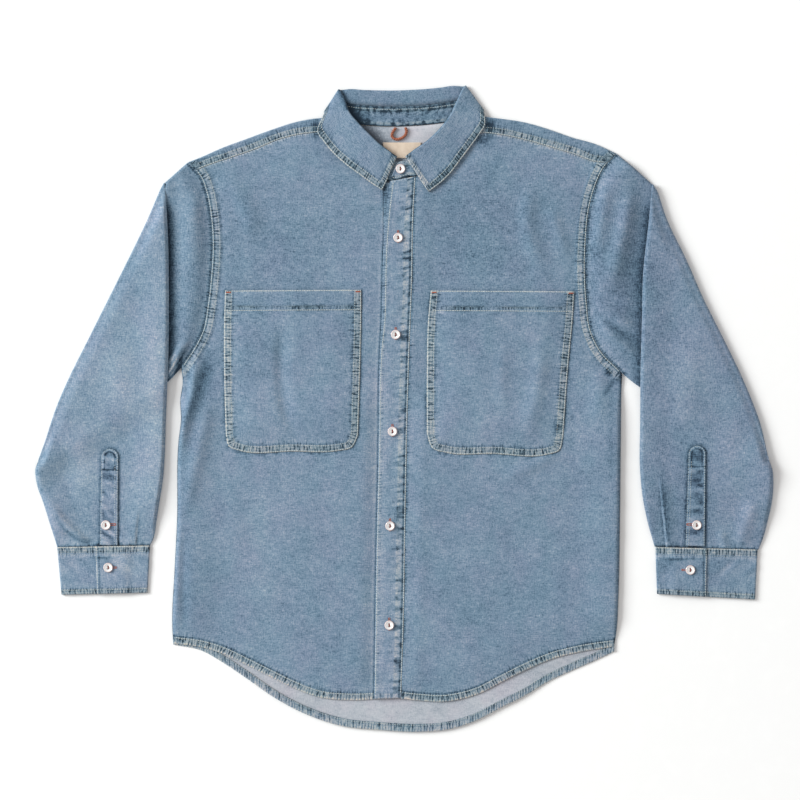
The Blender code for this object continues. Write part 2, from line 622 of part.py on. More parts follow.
def build_cuff(side):
    """A band wound round from the button end, beneath, to the buttonhole end on top."""
    shape = CUFF[side]
    low, mid, high, turn = BAND / 2, 3.1, 5.0, 1.15
    edge = shape["free_edge"]
    under_end = edge + 0.27
    path = [(under_end, mid, 0), (edge, mid, 0), (0.15, mid, 0), (0, mid, 0)]
    path += [(0, low + turn + turn * np.cos(a), -turn * np.sin(a)) for a in np.radians((45, 90, 135))]
    path += [(0, low, 0), (0.33, low, 0), (0.67, low, 0), (1, low, 0)]
    path += [(1, low + turn - turn * np.cos(a), turn * np.sin(a)) for a in np.radians((45, 90, 135))]
    path += [(1, mid, 0), (under_end + 0.17, mid + 0.2, 0), (under_end + 0.03, high, 0), (edge, high, 0)]
    outer, inner = np.array(shape["outer"], float), np.array(shape["inner"], float)
    rows = []
    for v in (0, 0.5, 1):
        left, right = outer[0] * (1 - v) + outer[1] * v, inner[0] * (1 - v) + inner[1] * v
        across = (right - left) / np.linalg.norm(right - left)
        start, end = left + across * (turn + low), right - across * (turn + low)
        row = [[*(start + (end - start) * f + across * beyond), z] for f, z, beyond in path]
        if v == 0:
            row = [[x, y - SEAM, z] for x, y, z in row]
        rows.append(row)
    cloth(f"cuff_{side}", [np.array(rows)], BAND)


def sleeve_back_height(points, side):
    """The middle of the sleeve's uppermost layer below the fold."""
    return 2 * SLEEVE_TURN_Z - BACK_Z - fall_to_table(points, SLEEVE[side])


def build_sleeve_placket(side):
    shape = SLEEVE_PLACKET[side]
    tip, foot = (np.array(p, float) for p in shape["axis"])
    down = (foot - tip) / np.linalg.norm(foot - tip)
    across = np.array([-down[1], down[0]])
    length = np.linalg.norm(foot - tip)
    shoulder = 11
    arch = [(0.0, 0.30), (0.25, 0.62), (1.0, 1.0)]
    rows = [(shoulder * s, shape["width"][0] * w / 2) for s, w in arch]
    for s in np.linspace(0, 1, 9)[1:]:
        width = shape["width"][0] * (1 - s) + shape["width"][1] * s
        rows.append((shoulder + (length - shoulder) * s, width / 2))
    grid = np.array([[tip + down * d + across * w * f for f in (-1, 0, 1)] for d, w in rows])
    z = sleeve_back_height(grid, side) + CLOTH + GAP + PLACKET_LIFT
    cloth(f"sleeve_placket_{side}", [raised(grid, z)], CLOTH)


# ---- trims ---------------------------------------------------------------------------------------------
def circle(radius, sides, centre=(0, 0)):
    angles = np.arange(sides) * 2 * np.pi / sides
    return [(centre[0] + radius * np.cos(a), centre[1] + radius * np.sin(a)) for a in angles]


def button_mesh():
    """A turned disc with a raised rim and two thread holes."""
    sides, hole_sides = 16, 6
    rings = [circle(BUTTON_R, sides), circle(BUTTON_R - BUTTON_RIM, sides)]
    holes = [circle(HOLE_R, hole_sides, (0, HOLE_AT)), circle(HOLE_R, hole_sides, (0, -HOLE_AT))]
    shape = bmesh.new()

    def level(loops, heights):
        return [[shape.verts.new(Vector((x, y, z)) * MM) for x, y in loop] for loop, z in zip(loops, heights)]

    def face_between(loops):
        flat = [v for loop in loops for v in loop]
        starts = np.cumsum([0] + [len(loop) for loop in loops])
        edges = [(s + i, s + (i + 1) % len(loop)) for s, loop in zip(starts, loops) for i in range(len(loop))]
        points = [v.co.xy for v in flat]
        _, _, faces, _, _, _ = geometry.delaunay_2d_cdt(points, edges, [], 0, 1e-7)
        for face in faces:
            middle = sum((points[i] for i in face), Vector((0, 0))) / 3
            inside_hole = any((middle - Vector((0, at * MM))).length < HOLE_R * MM * 0.8
                              for at in (HOLE_AT, -HOLE_AT))
            if not inside_hole:
                shape.faces.new([flat[i] for i in face])

    def wall(lower, upper):
        for i in range(len(lower)):
            j = (i + 1) % len(lower)
            shape.faces.new([lower[i], lower[j], upper[j], upper[i]])

    top = level(rings + holes, [BUTTON_T, BUTTON_T - 0.5] + [BUTTON_T - 0.5] * 2)
    bottom = level(rings[:1] + holes, [0, 0, 0])
    face_between([top[1], top[2], top[3]])
    face_between([bottom[0], bottom[1], bottom[2]])
    wall(top[1], top[0])
    wall(bottom[0], top[0])
    wall(bottom[1], top[2])
    wall(bottom[2], top[3])
    bmesh.ops.recalc_face_normals(shape, faces=shape.faces)
    mesh = bpy.data.meshes.new("button")
    shape.to_mesh(mesh)
    shape.free()
    mesh.materials.append(material("button"))
    return mesh


def add_buttons():
    mesh = button_mesh()
    places = {}
    for number, (x, y) in enumerate(FRONT_BUTTONS, 1):
        places[f"button_front_{number}"] = (x, y, TOP_BAND_Z + BAND / 2 + GAP)
    for side in ("right", "left"):
        x, y = SLEEVE_BUTTONS[side]
        cloth_z = sleeve_back_height(np.array([x, y], float), side) + 1.5 * CLOTH + GAP + PLACKET_LIFT
        places[f"button_sleeve_{side}"] = (x, y, cloth_z + GAP)
        x, y = CUFF_BUTTONS[side]
        places[f"button_cuff_{side}"] = (x, y, 5.0 + BAND / 2 + GAP)
    for name, place in places.items():
        button = bpy.data.objects.new(name, mesh)
        button.location = Vector(place) * MM
        bpy.data.collections[COLLECTION].objects.link(button)


def add_loop():
    curve = bpy.data.curves.new("hanger_loop", "CURVE")
    curve.dimensions = "3D"
    curve.bevel_depth = LOOP_R * MM
    curve.bevel_resolution = 1
    curve.use_fill_caps = True
    route = smooth(LOOP_ROUTE, 17)
    spline = curve.splines.new("POLY")
    spline.points.add(len(route) - 1)
    for point, (x, y) in zip(spline.points, route):
        z = CLOTH + neck_lift(x, y) + GAP + LOOP_R + 0.1
        point.co = (*(Vector((x, y, z)) * MM), 1)
    loop = bpy.data.objects.new("hanger_loop", curve)
    curve.materials.append(material("cord"))
    bpy.data.collections[COLLECTION].objects.link(loop)


def add_label():
    xs, ys = np.linspace(*LABEL["x"], 4), np.linspace(*LABEL["y"], 4)
    grid = np.array([[(x, y) for y in ys] for x in xs])
    z = CLOTH + neck_lift(grid[..., 0], grid[..., 1]) + GAP + LABEL_T / 2 + 0.1
    cloth("neck_label", [raised(grid, z)], LABEL_T, "label")


def centre_on_origin():
    """Move everything so that the shirt's box stands centred on the origin."""
    bpy.context.view_layer.update()
    graph = bpy.context.evaluated_depsgraph_get()
    corners = []
    parts = list(bpy.data.collections[COLLECTION].objects)
    for part in parts:
        shown = part.evaluated_get(graph)
        mesh = shown.to_mesh()
        corners += [shown.matrix_world @ v.co for v in mesh.vertices]
        shown.to_mesh_clear()
    box = np.array([list(c) for c in corners])
    low, high = box.min(0), box.max(0)
    shift_by = Vector((-(low[0] + high[0]) / 2, -(low[1] + high[1]) / 2, -low[2]))
    for part in parts:
        part.location += shift_by


def main():
    for thing in list(bpy.data.objects):
        bpy.data.objects.remove(thing)
    bpy.context.scene.collection.children.link(bpy.data.collections.new(COLLECTION))
    build_back()
    build_yoke()
    for side in ("right", "left"):
        build_front(side)
        build_pocket(side)
        build_sleeve(side)
        build_cuff(side)
        build_sleeve_placket(side)
    under_inner = [(x + UNDER_BAND_W, y) for x, y in UNDER_BAND_OUTER]
    build_band("placket_right", UNDER_BAND_OUTER, under_inner, UNDER_BAND_Z, 283)
    sewn = [(x - SEAM, y) for x, y in TOP_BAND_SEWN]
    build_band("placket_left", TOP_BAND_FREE, sewn, TOP_BAND_Z, 283)
    build_stand()
    build_collar()
    add_buttons()
    add_loop()
    add_label()
    centre_on_origin()


main()
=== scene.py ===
"""The looks of the denim shirt: cloth with folds, seams and stitches, the trims, the light and the camera.

Sizes are in millimetres in the shirt's pattern frame: X to the wearer's left, Y to the collar, Z up from the
surface that the shirt lies on. "Right" and "left" are the wearer's. OFFSET moves the pattern frame onto the
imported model.
"""

import bpy
import numpy as np
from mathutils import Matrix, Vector, geometry
from mathutils.bvhtree import BVHTree


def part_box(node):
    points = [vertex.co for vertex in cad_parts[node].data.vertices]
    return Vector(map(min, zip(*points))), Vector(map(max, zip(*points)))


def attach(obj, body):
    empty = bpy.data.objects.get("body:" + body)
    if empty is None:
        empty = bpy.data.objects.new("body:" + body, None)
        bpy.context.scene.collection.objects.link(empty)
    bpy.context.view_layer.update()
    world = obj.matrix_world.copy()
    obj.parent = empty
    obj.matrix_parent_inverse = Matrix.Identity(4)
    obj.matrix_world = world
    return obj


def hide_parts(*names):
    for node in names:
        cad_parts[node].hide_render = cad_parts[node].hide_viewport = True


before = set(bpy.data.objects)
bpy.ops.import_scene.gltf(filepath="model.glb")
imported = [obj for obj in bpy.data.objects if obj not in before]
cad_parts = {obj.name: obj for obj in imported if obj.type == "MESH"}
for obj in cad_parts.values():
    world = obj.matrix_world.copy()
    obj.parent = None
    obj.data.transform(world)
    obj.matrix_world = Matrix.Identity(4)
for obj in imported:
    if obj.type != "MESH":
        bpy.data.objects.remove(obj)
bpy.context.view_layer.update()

SIDES = ("right", "left")
INWARD = {"right": 1, "left": -1}    # the direction of X towards the middle of the shirt
SEEDS = {"right": 0, "left": 10}     # added to a piece's seeds of noise

MM = 0.001
PLY = 0.8            # one ply of denim
STRIP = 1.2          # the strips of the sleeve plackets
BAND = 1.6           # doubled, pressed bands
GAP = 0.3            # between two bands, and beneath a strip
LEAST_CLEARANCE = 0.03     # between the cloth and the surface beneath it
LOWEST = PLY / 2 + 0.12    # middle of the lowest layer
SEAM = 0.12          # each side of a seam
TURN = 1.0           # radius of a pressed fold
BACK_Z = 0.6         # middle of the cloth: a sleeve's back layer,
FRONT_Z = 2.6        # the fronts and a sleeve's front layer,
SIDE_Z = 2.15        # the fronts at the side seams,
UNDER_BAND_Z = 2.8   # the button band
TOP_BAND_Z = 4.7     # and the buttonhole band
SLEEVE_TURN_Z = 4.2  # axis that each sleeve folds around
NECK_LIFT = 1.9      # how far the collar beneath it lifts the back of the neck
WELT = 9.5           # width of a felled seam
HEM = 9.0            # depth of the hems
HIGHEST_STEP = 1.5   # between the two ends of a stitch

# ---- pattern lines (x, y)
SIDE = {
    "right": [(-279, 52), (-277, 35), (-280, 11), (-279, -14), (-282, -39), (-284, -139), (-287, -200),
              (-290, -270), (-289, -293)],
    "left": [(272, 45), (271, 24), (270, -41), (269, -139), (267, -239), (265, -276), (262, -296)],
}
ARMHOLE = {
    "right": [(-279, 52), (-263, 76), (-252, 98), (-246, 130), (-242, 165), (-240, 213), (-242, 239),
              (-247, 268), (-255, 290), (-270, 307)],
    "left": [(272, 45), (243, 76), (233, 98), (228, 133), (226, 165), (227, 213), (230, 245), (237, 274),
             (249, 301), (264, 318)],
}
SHOULDER_FOLD = {
    "right": [(-270, 307), (-251, 314.5), (-226, 325.5), (-196, 336.5), (-166, 347.5), (-136, 357),
              (-116, 361), (-94, 363)],
    "left": [(264, 318), (239, 329.5), (209, 338), (179, 348.5), (149, 357), (119, 361.5), (107, 363),
             (89, 365.5)],
}
SHOULDER_SEAM = {
    "right": [(-243, 305), (-219, 313), (-187, 324), (-155, 337), (-123, 344), (-90, 346)],
    "left": [(237, 309), (218, 316), (186, 326), (154, 335), (128, 341), (85, 346)],
}
NECKLINE = {
    "right": [(-90, 346), (-85, 334), (-75, 318), (-62, 304), (-44, 291), (-26, 283.5)],
    "left": [(85, 346), (79, 333), (70, 319), (56, 305), (40, 296), (14, 291.5)],
}
BACK_NECKLINE = [(-94, 363), (-78, 357.5), (-56, 354.5), (-18, 352.5), (19, 354), (51, 357.5), (74, 361.5),
                 (89, 365.5)]
YOKE_SEAM_Y = 236
SHOULDER_AT = 0.83   # share of the armhole above the yoke seam that lies in front of the shoulder seam
FRONT_HEM = {
    "right": [(-289, -292), (-251, -297.5), (-231, -303.5), (-199, -318), (-168, -333.5), (-139, -347.5),
              (-107, -359), (-64, -363), (-36, -362)],
    "left": [(262, -296), (218, -303), (186, -311), (154, -324), (122, -340), (90, -356), (73, -361),
             (45, -365), (26, -364), (-4, -361)],
}
BACK_HEM = [(-289, -293.5), (-256, -300), (-226, -316.5), (-196, -336.5), (-166, -357.5), (-136, -374.5),
            (-106, -387), (-76, -395.5), (-31, -400), (14, -402.5), (59, -398.5), (89, -388.5), (119, -373),
            (149, -358), (179, -340), (209, -326), (239, -313), (262, -302)]
FREE_EDGE = [(-18.4, 283), (-23.4, 240), (-26.4, 200), (-28.4, 118), (-31.4, 54), (-32.4, -41), (-35.4, -189),
             (-37.9, -362)]
TOP_BAND_SEWN = [(14, 291.5), (11.4, 245), (9.3, 149), (6.8, 85), (3.8, -10), (1.8, -109), (-1, -269),
                 (-4, -361)]
UNDER_BAND_OUTER = [(-26, 283), (-26.5, 118), (-29.5, -41), (-35, -361)]
BAND_WIDTH = 29
BAND_EDGE = {"right": UNDER_BAND_OUTER, "left": TOP_BAND_SEWN}     # where each front ends
POCKET = {
    "right": {"outer": [(-224, 148), (-225, 118), (-225, 40), (-223, -32)],
              "bottom": [(-223, -32), (-219, -47), (-206, -52), (-140, -53), (-82, -52), (-66, -48),
                         (-58, -33)],
              "inner": [(-54, 149), (-54, 118), (-56, 30), (-58, -33)]},
    "left": {"outer": [(212, 147), (210.5, 118), (205, 60), (198, -35)],
             "bottom": [(198, -35), (193, -52), (180, -56.5), (110, -56), (52, -54.5), (35, -49),
                        (28, -32)],
             "inner": [(33, 148), (30, 118), (28, 40), (28, -32)]},
}
POCKET_SWELL = 2.4
POCKET_HEM = 25      # depth of the hem at a pocket's mouth

# ---- the neck: x, y of neck seam, stand seam, roll and edge, then the heights of the cloth there
STAND_START = [((8, 284.4), (5, 309.5), (2.8, 2.8)), ((-8, 284.2), (-5, 309.5), (2.8, 2.8))]
RIGHT_LEAF = [
    ((-19, 284.0), (-13.5, 309.5), (-9.5, 314.5), (-28, 273), (2.8, 3.0, 4.2, 6.8, 5.2)),
    ((-30, 286), (-22, 313.5), (-20, 322), (-40, 281), (2.8, 3.9, 4.9, 8.0, 5.3)),
    ((-44, 292), (-36, 320), (-32, 331), (-56, 292.5), (2.9, 4.0, 5.2, 8.8, 5.2)),
    ((-62, 305), (-53, 332), (-46, 344.5), (-74, 306), (3.1, 3.8, 5.0, 9.0, 5.0)),
    ((-75.5, 320), (-68, 348), (-60, 359), (-90, 320.5), (3.4, 4.3, 5.3, 9.0, 5.1)),
    ((-84.5, 336), (-78, 364), (-69.5, 371), (-101, 334), (4.2, 4.8, 5.2, 8.6, 5.7)),
    ((-89, 347), (-83, 376), (-74, 383), (-109, 347), (4.7, 4.8, 4.9, 8.2, 6.6)),
]
RIGHT_CREASE = ((-87.5, 364.5), (-84, 387), (-80, 397.5), (-99.5, 370))
BACK_OF_NECK = [
    ((-76, 357.8), (-71, 382), (-66, 399), (-80, 358.5)),
    ((-56, 355.0), (-52, 379.8), (-50, 397.8), (-54, 356)),
    ((-18, 352.9), (-17, 378.2), (-17, 397.2), (-18, 355.5)),
    ((19, 354.4), (19, 379.2), (19, 398.5), (19, 356.5)),
    ((51, 357.9), (50, 382.6), (46, 401.0), (56, 359)),
    ((72, 361.6), (69, 386), (61, 403.0), (79, 363)),
]
LEFT_CREASE = ((83.0, 367.5), (79.5, 389.5), (74.5, 402), (99, 371))
LEFT_LEAF = [
    ((83.5, 347.5), (79, 377), (67.5, 388), (101, 357), (4.7, 4.8, 4.9, 8.2, 6.6)),
    ((78, 334.5), (73, 361), (60, 372), (93, 342), (4.0, 4.8, 5.2, 8.8, 6.2)),
    ((70, 321), (63, 346), (50, 356.5), (82, 327), (3.4, 4.3, 5.3, 9.2, 5.2)),
    ((56, 305.5), (49, 332), (38.5, 343.5), (70, 311), (3.1, 3.6, 5.1, 9.4, 5.0)),
    ((40, 293.5), (33, 320.5), (25.5, 332), (57, 294), (3.4, 3.9, 5.4, 9.4, 5.0)),
    ((25, 291), (18, 313.5), (12, 323), (44, 281.5), (4.4, 4.6, 5.8, 9.2, 5.6)),
    ((10, 290.8), (4.5, 311), (1.5, 314.5), (30, 271), (4.7, 4.8, 5.4, 8.2, 6.0)),
]
STAND_END = [((-6, 287.6), (-3, 310), (4.7, 4.7)), ((-14, 286), (-7.5, 308.5), (4.7, 4.7)),
             ((-17, 288), (-11, 304), (4.7, 4.7))]
BACK_NECK_Z, BACK_ROLL_Z, UNDER_COLLAR_Z, UNDER_ROLL_Z = 2.7, 4.6, 0.8, 1.1
CREASE_ANGLES = (20, 45, 68, 90, 112, 135, 160)
ROLL_LIFT = 3.0      # how much higher than the solid the collar's roll stands
STATION_STEP = 2.1   # spacing of the collar's points round the neck
# The y above which parts lie behind the neck: the stand, its stitches, the collar's front edge and its roll.
STAND_BEHIND, STAND_ROW_BEHIND, EDGE_BEHIND, ROLL_BEHIND = 345, 353, 366, 372

# ---- sleeves
SLEEVE = {
    "right": {"underarm": [(-279, 52), (-296, 34), (-340, 6), (-400, -30), (-456.5, -64)],
              "top": [(-270, 307), (-286, 293), (-300, 281)],
              "crease": [(-456.5, -64), (-447, -39), (-429, 11), (-417, 38), (-392, 88), (-367, 138),
                         (-342, 188), (-318, 238), (-300, 281)],
              "outer": [(-456.5, -64), (-460, -74), (-459.5, -86), (-457, -98), (-451, -114), (-443, -139),
                        (-435, -164), (-432.5, -172.5)],
              "inner": [(-300, 281), (-299, 268), (-296, 213), (-295, 149), (-296, 54), (-299, -10),
                        (-301, -64), (-303, -89), (-307, -114), (-311, -139), (-316, -164),
                        (-319.5, -170.5)]},
    "left": {"underarm": [(272, 45), (291, 30), (340, 4), (400, -30), (454, -62)],
             "top": [(264, 318), (289, 298), (310, 279)],
             "crease": [(454, -62), (448, -40), (430, 10), (419, 36), (395, 86), (370, 136), (348, 186),
                        (324, 236), (310, 279)],
             "outer": [(454, -62), (458.5, -74), (460, -90), (458.5, -113), (453, -138), (446, -163),
                       (441, -175.5)],
             "inner": [(310, 279), (305.5, 232), (298.5, 165), (297.5, 118), (295.5, 38), (295.5, -14),
                       (295.5, -78), (298.5, -109), (305, -141), (314, -172)]},
}
CUFF = {
    "right": {"outer": [(-434, -172.5), (-428.5, -232)], "inner": [(-318, -170.5), (-321, -229.5)],
              "free_edge": 0.413},
    "left": {"outer": [(441.5, -175.5), (438, -238)], "inner": [(313.5, -172.5), (315.5, -231)],
             "free_edge": 0.50},
}
CUFF_DEPTH = 61.5
# The row of stitches round the free end of a cuff: distance along it and down it from the end's top corner.
FREE_END_ROW = ((6.5, 1.0), (3.2, 1.3), (1.5, 2.6), (1.0, 5.5), (1.2, 30), (1.0, 59))
INNER_ROLL = {"right": (6.5, 3.5), "left": (4.0, 3.0)}     # height and radius of the sleeve's inner edge
DENSE_SLEEVE = ((0.44, 0.70, 36), (0.83, 0.92, 18))    # finer columns, for the placket's shadow and a pleat
SLEEVE_PLACKET = {
    "right": {"axis": [(-367.8, -49), (-369.5, -170)], "width": (22, 23)},
    "left": {"axis": [(365.5, -45), (363, -171)], "width": (22, 25)},
}
BOX_LENGTH = 27      # of the stitched box at a sleeve placket's tip

# ---- soft folds: line of the crest, height, and half width to the left and right of its direction
FRONT_FOLDS = {
    "right": [
        ([(-243, 20), (-250, -20), (-259, -60), (-268, -100), (-272, -140)], 2.4, 9, 8),
        ([(-254, 84), (-263, 46), (-266, 18), (-276, -18), (-281, -60)], 5.2, 8, 4.5),
        ([(-236, 292), (-208, 268), (-192, 232), (-190, 205)], 2.4, 13, 10),
        ([(-275, -150), (-276, -210), (-275, -285)], -1.8, 6, 6),
        ([(-170, 240), (-120, 238), (-60, 240)], 0.6, 9, 9),
        ([(-228, -70), (-215, -120), (-218, -190)], 0.7, 16, 16),
    ],
    "left": [
        ([(247, 60), (243, 20), (245, -20)], 1.8, 10, 10),
        ([(150, 290), (155, 262), (153, 236), (160, 203), (180, 172)], 3.0, 10, 9),
        ([(182, 258), (187, 238), (204, 186)], 2.2, 8, 8),
        ([(155, 172), (168, 168), (186, 158)], 1.2, 4, 4),
        ([(118, -84), (150, -76), (196, -52)], 1.8, 7, 6),
        ([(215, -150), (205, -220), (212, -280)], 0.7, 18, 18),
    ],
}
POCKET_FOLDS = {
    "right": [([(-153, 112), (-155, 60), (-153, 20), (-147, -8), (-130, -40)], -2.6, 10, 6)],
    "left": [
        ([(124, 90), (121, 40), (124, -10)], 1.2, 8, 8),
        ([(172, 90), (166, 30), (150, -40)], 2.2, 10, 10),
    ],
}
CAP_RISE = {"right": (4.0, 26), "left": (4.5, 38)}     # how high the cap swells, and its slope's width
CAP_FOLDS = {
    "right": [
        ([(-268, 92), (-279, 74), (-288, 58), (-294, 40), (-300, 16)], 6.0, 3.5, 6),
        ([(-258, 280), (-264, 250), (-262, 160)], 2.2, 10, 10),
    ],
    "left": [
        ([(252, 290), (246, 242), (237, 190)], 2.8, 7, 7),
        ([(284, 284), (275, 232), (264, 184), (252, 140)], 4.6, 10, 8),
        ([(262, 134), (282, 128), (312, 118)], 3.4, 6, 4.5),
        ([(256, 118), (280, 104), (312, 84)], 4.2, 5, 5),
        ([(262, 88), (282, 72), (312, 44)], 4.0, 4.5, 6),
        ([(242, 112), (254, 96), (268, 84)], 2.0, 5, 4),
    ],
}
SLEEVE_FOLDS = {
    "right": [
        ([(-446, -112), (-430, -136), (-406, -160), (-388, -176)], 3.2, 5, 11),
        ([(-432, -150), (-408, -163), (-378, -170)], -2.4, 4, 4),
        ([(-358, -158), (-350, -163), (-338, -168)], 1.6, 3, 3),
        ([(-372, 100), (-352, 40), (-350, -20)], 1.6, 22, 22),
        ([(-420, -20), (-400, -60), (-405, -110)], 1.4, 18, 18),
    ],
    "left": [
        ([(438, -110), (424, -150), (420, -180)], 2.4, 9, 9),
        ([(372, 110), (352, 30), (346, -40)], 1.6, 22, 22),
        ([(410, 0), (408, -60), (420, -120)], 1.4, 18, 18),
        ([(392, -150), (398, -165), (402, -180)], 1.8, 6, 6),
    ],
}
PLEAT = {
    "right": [(-330, -120), (-334, -148), (-338, -184)],
    "left": [(318, -84), (323, -130), (329, -184)],
}

# ---- painted shade and light along folds and creases, darker on sides turned from the lamp and paler on lit
# faces: a line, its tone, and half width to its left and right
SHADES = {
    "front_right": [
        ([(-242, 80), (-250, 50), (-258, 25), (-265, 3), (-273, -22)], -0.24, 13, 5),
        ([(-272, -140), (-274, -210), (-275, -285)], -0.07, 8, 5),
        ([(-276, 48), (-277, 25), (-279, -5)], 0.10, 3, 3),
        ([(-235, 292), (-205, 262), (-186, 222), (-184, 190)], -0.05, 12, 12),
    ],
    "front_left": [
        ([(262, 40), (258, 0), (257, -60), (258, -110)], -0.10, 3.5, 3.5),
        ([(263, 42), (256, 28), (247, 14)], -0.26, 3, 2.5),
        ([(120, 325), (108, 300), (100, 270)], -0.06, 10, 10),
    ],
    "cap_right": [
        ([(-272, 80), (-280, 66), (-283, 48), (-288, 32)], -0.55, 3.0, 3),
        ([(-282, 74), (-288, 61), (-291.5, 47), (-294, 30)], 0.60, 4.5, 4.0),
        ([(-278, 54), (-288, 44), (-298, 33)], -0.45, 1.8, 1.8),
    ],
    "cap_left": [
        ([(255, 136), (276, 126), (306, 112)], -0.10, 5, 6),
        ([(244, 116), (268, 98), (304, 76)], -0.13, 4, 6),
        ([(262, 84), (284, 66), (306, 44)], -0.12, 4, 5),
        ([(250, 290), (244, 240), (240, 180)], -0.05, 8, 8),
    ],
    "sleeve_right": [
        ([(-363, -160), (-358, -167), (-352, -173)], -0.40, 2.5, 2.5),
        ([(-360, -162), (-352, -168), (-344, -173)], 0.22, 1.8, 1.8),
        ([(-388, -170), (-376, -171)], -0.35, 2.5, 2.5),
        ([(-438, -122), (-431, -142), (-420, -154), (-405, -164), (-380, -171.5)], -0.28, 3, 2.5),
        ([(-350, -171), (-340, -172), (-330, -172)], -0.15, 3, 3),
    ],
    "sleeve_left": [
        ([(336, -172), (346, -171)], -0.30, 3, 3),
        ([(352, -168), (362, -172), (372, -170)], -0.35, 4, 3),
        ([(430, -150), (422, -166), (424, -176)], -0.12, 4, 4),
        ([(317, -70), (324, -124), (332, -190)], -0.24, 5, 1.2),
    ],
}

# ---- where washing and wear left more or less dye, and spots of painted shade and light: centre, reach along x
# and y, tone, and extra grain
FADE_AND_SHADE_SPOTS = [
    ((-143, 217), (75, 55), -0.05, 0.15),
    ((97, 222), (65, 75), -0.10, 0.2),
    ((-182, 99), (32, 75), -0.06, 0.1),
    ((-36, -114), (13, 300), 0.09, 0.0),
    ((-175, 20), (25, 200), 0.03, 0.0),
    ((150, -200), (110, 90), -0.03, 0.0),
    ((-10, 0), (12, 300), 0.03, 0.0),
    ((-160, -120), (90, 60), 0.03, 0.0),
    ((277, 174), (42, 105), -0.13, 0.15),
    ((-255, 200), (30, 90), -0.04, 0.1),
    # painted light: a paler strip along the right sleeve's rolled inner edge
    ((-310, 20), (15, 170), 0.14, 0.0),
    ((-353, -198), (24, 24), 0.09, 0.0),
    ((232, 211), (15, 75), -0.09, 0.1),
    ((322, -120), (22, 50), -0.05, 0.0),
    # painted shadow under the collar's edges, on the shoulders and the fronts
    ((106, 351), (4.5, 12), -0.50, 0.0),
    ((110, 355), (2.5, 9), -0.30, 0.0),
    ((97, 337), (7, 7), -0.35, 0.0),
    ((-111, 349), (4, 10), -0.50, 0.0),
    ((-274, -90), (9, 120), -0.07, 0.0),
    ((-256, 76), (12, 18), -0.14, 0.3),
    ((-264, 305), (9, 7), -0.12, 0.0),
    ((252, 311), (9, 7), -0.10, 0.0),
    ((-250, 34), (10, 24), -0.06, 0.0),
    # painted shadow beside the top of the buttonhole band, under the collar
    ((-24, 270), (5, 20), -0.30, 0.0),
    # painted shadow in the left armpit
    ((255, 47), (4, 5), -0.5, 0.0),
    # painted shade beside the right sleeve's fold, at the armpit
    ((-281, 56), (3, 10), -0.3, 0.0),
    # painted shade on the pockets' edges that turn away from the lamp
    ((-63, 45), (9, 90), -0.08, 0.2),
    ((202, 45), (9, 90), -0.07, 0.2),
    ((-130, -51), (60, 7), -0.02, 0.2),
    ((120, -51), (60, 7), -0.04, 0.2),
    # painted light on the right pocket's outer edge, which faces the lamp
    ((-217, 45), (8, 90), 0.05, 0.0),
    ((-143, 131), (70, 9), -0.05, 0.0),
    ((120, 131), (80, 9), -0.05, 0.0),
    ((355, -120), (40, 45), -0.05, 0.0),
    # the sleeves: the left a little darker and the right paler, partly their own tone and partly painted
    # light, brighter nearer the lamp
    ((380, -30), (60, 160), -0.03, 0.0),
    ((-390, -20), (75, 220), 0.08, 0.0),
]

# ---- fastenings and trims
FRONT_BUTTONS = [(-5, 300), (-8, 214), (-11, 93), (-15, -28), (-18, -146), (-19, -270)]
SLEEVE_BUTTONS = {"right": (-373, -145), "left": (365, -145)}
CUFF_BUTTONS = {"right": (-370, -198), "left": (357, -201)}
LOOP_ROUTE = [(-11, 351), (-14.4, 346), (-15.8, 341.3), (-11.9, 337.3), (-4.4, 338), (1.2, 342.5),
              (2.5, 347.5), (1.2, 351.3)]
LABEL = {"x": (-27, 21), "y": (313.5, 333)}
CAMERA_AT = (-5.6, 11.25, 0)     # the place that the camera stands above

BUTTON_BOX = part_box("button_front_1")
OFFSET = np.array([(BUTTON_BOX[0][k] + BUTTON_BOX[1][k]) / 2 / MM - FRONT_BUTTONS[0][k] for k in (0, 1)]
                  + [0.0])


# ---- curves and patches
def unit(v):
    """Vectors scaled to a length of 1."""
    return v / np.linalg.norm(v, axis=-1, keepdims=True)


def lengths(points):
    """Distance along a line of points, from 0 at its start."""
    return np.concatenate([[0.0], np.cumsum(np.linalg.norm(np.diff(points, axis=0), axis=1))])


def hermite(t, knots, slope, at):
    """Values at the places given between knots with known slopes."""
    i = np.clip(np.searchsorted(t, at, side="right") - 1, 0, len(t) - 2)
    h = (t[i + 1] - t[i])[:, None]
    s = (at - t[i])[:, None] / h
    return ((2 * s**3 - 3 * s**2 + 1) * knots[i] + (s**3 - 2 * s**2 + s) * h * slope[i]
            + (3 * s**2 - 2 * s**3) * knots[i + 1] + (s**3 - s**2) * h * slope[i + 1])


def along(curve, places):
    """Points at fractions of a curve's length, or that many at even steps."""
    fractions = np.linspace(0, 1, places) if np.ndim(places) == 0 else places
    d = lengths(curve)
    return np.stack([np.interp(fractions * d[-1], d, curve[:, k]) for k in range(curve.shape[1])], 1)


def straight(start, end, places):
    return along(np.array([start, end], float), places)


def smooth(table, count=200):
    """count points spread evenly along the smooth curve through a table of points."""
    knots = np.array(table, float)
    t = lengths(knots)
    chord = np.repeat((knots[-1:] - knots[:1]) / t[-1], 2, 0)
    slope = np.gradient(knots, t, axis=0) if len(knots) > 2 else chord
    return along(hermite(t, knots, slope, np.linspace(0, t[-1], 24 * len(knots))), count)


def steady(t, knots, at):
    """A curve through knots that never swings past them, for knots at uneven places."""
    step = np.diff(knots, axis=0) / np.diff(t)[:, None]
    same = step[:-1] * step[1:] > 0
    total = np.where(same, step[:-1] + step[1:], 1)
    inner = np.where(same, 2 * step[:-1] * step[1:] / total, 0)
    return hermite(t, knots, np.concatenate([step[:1], inner, step[-1:]]), at)


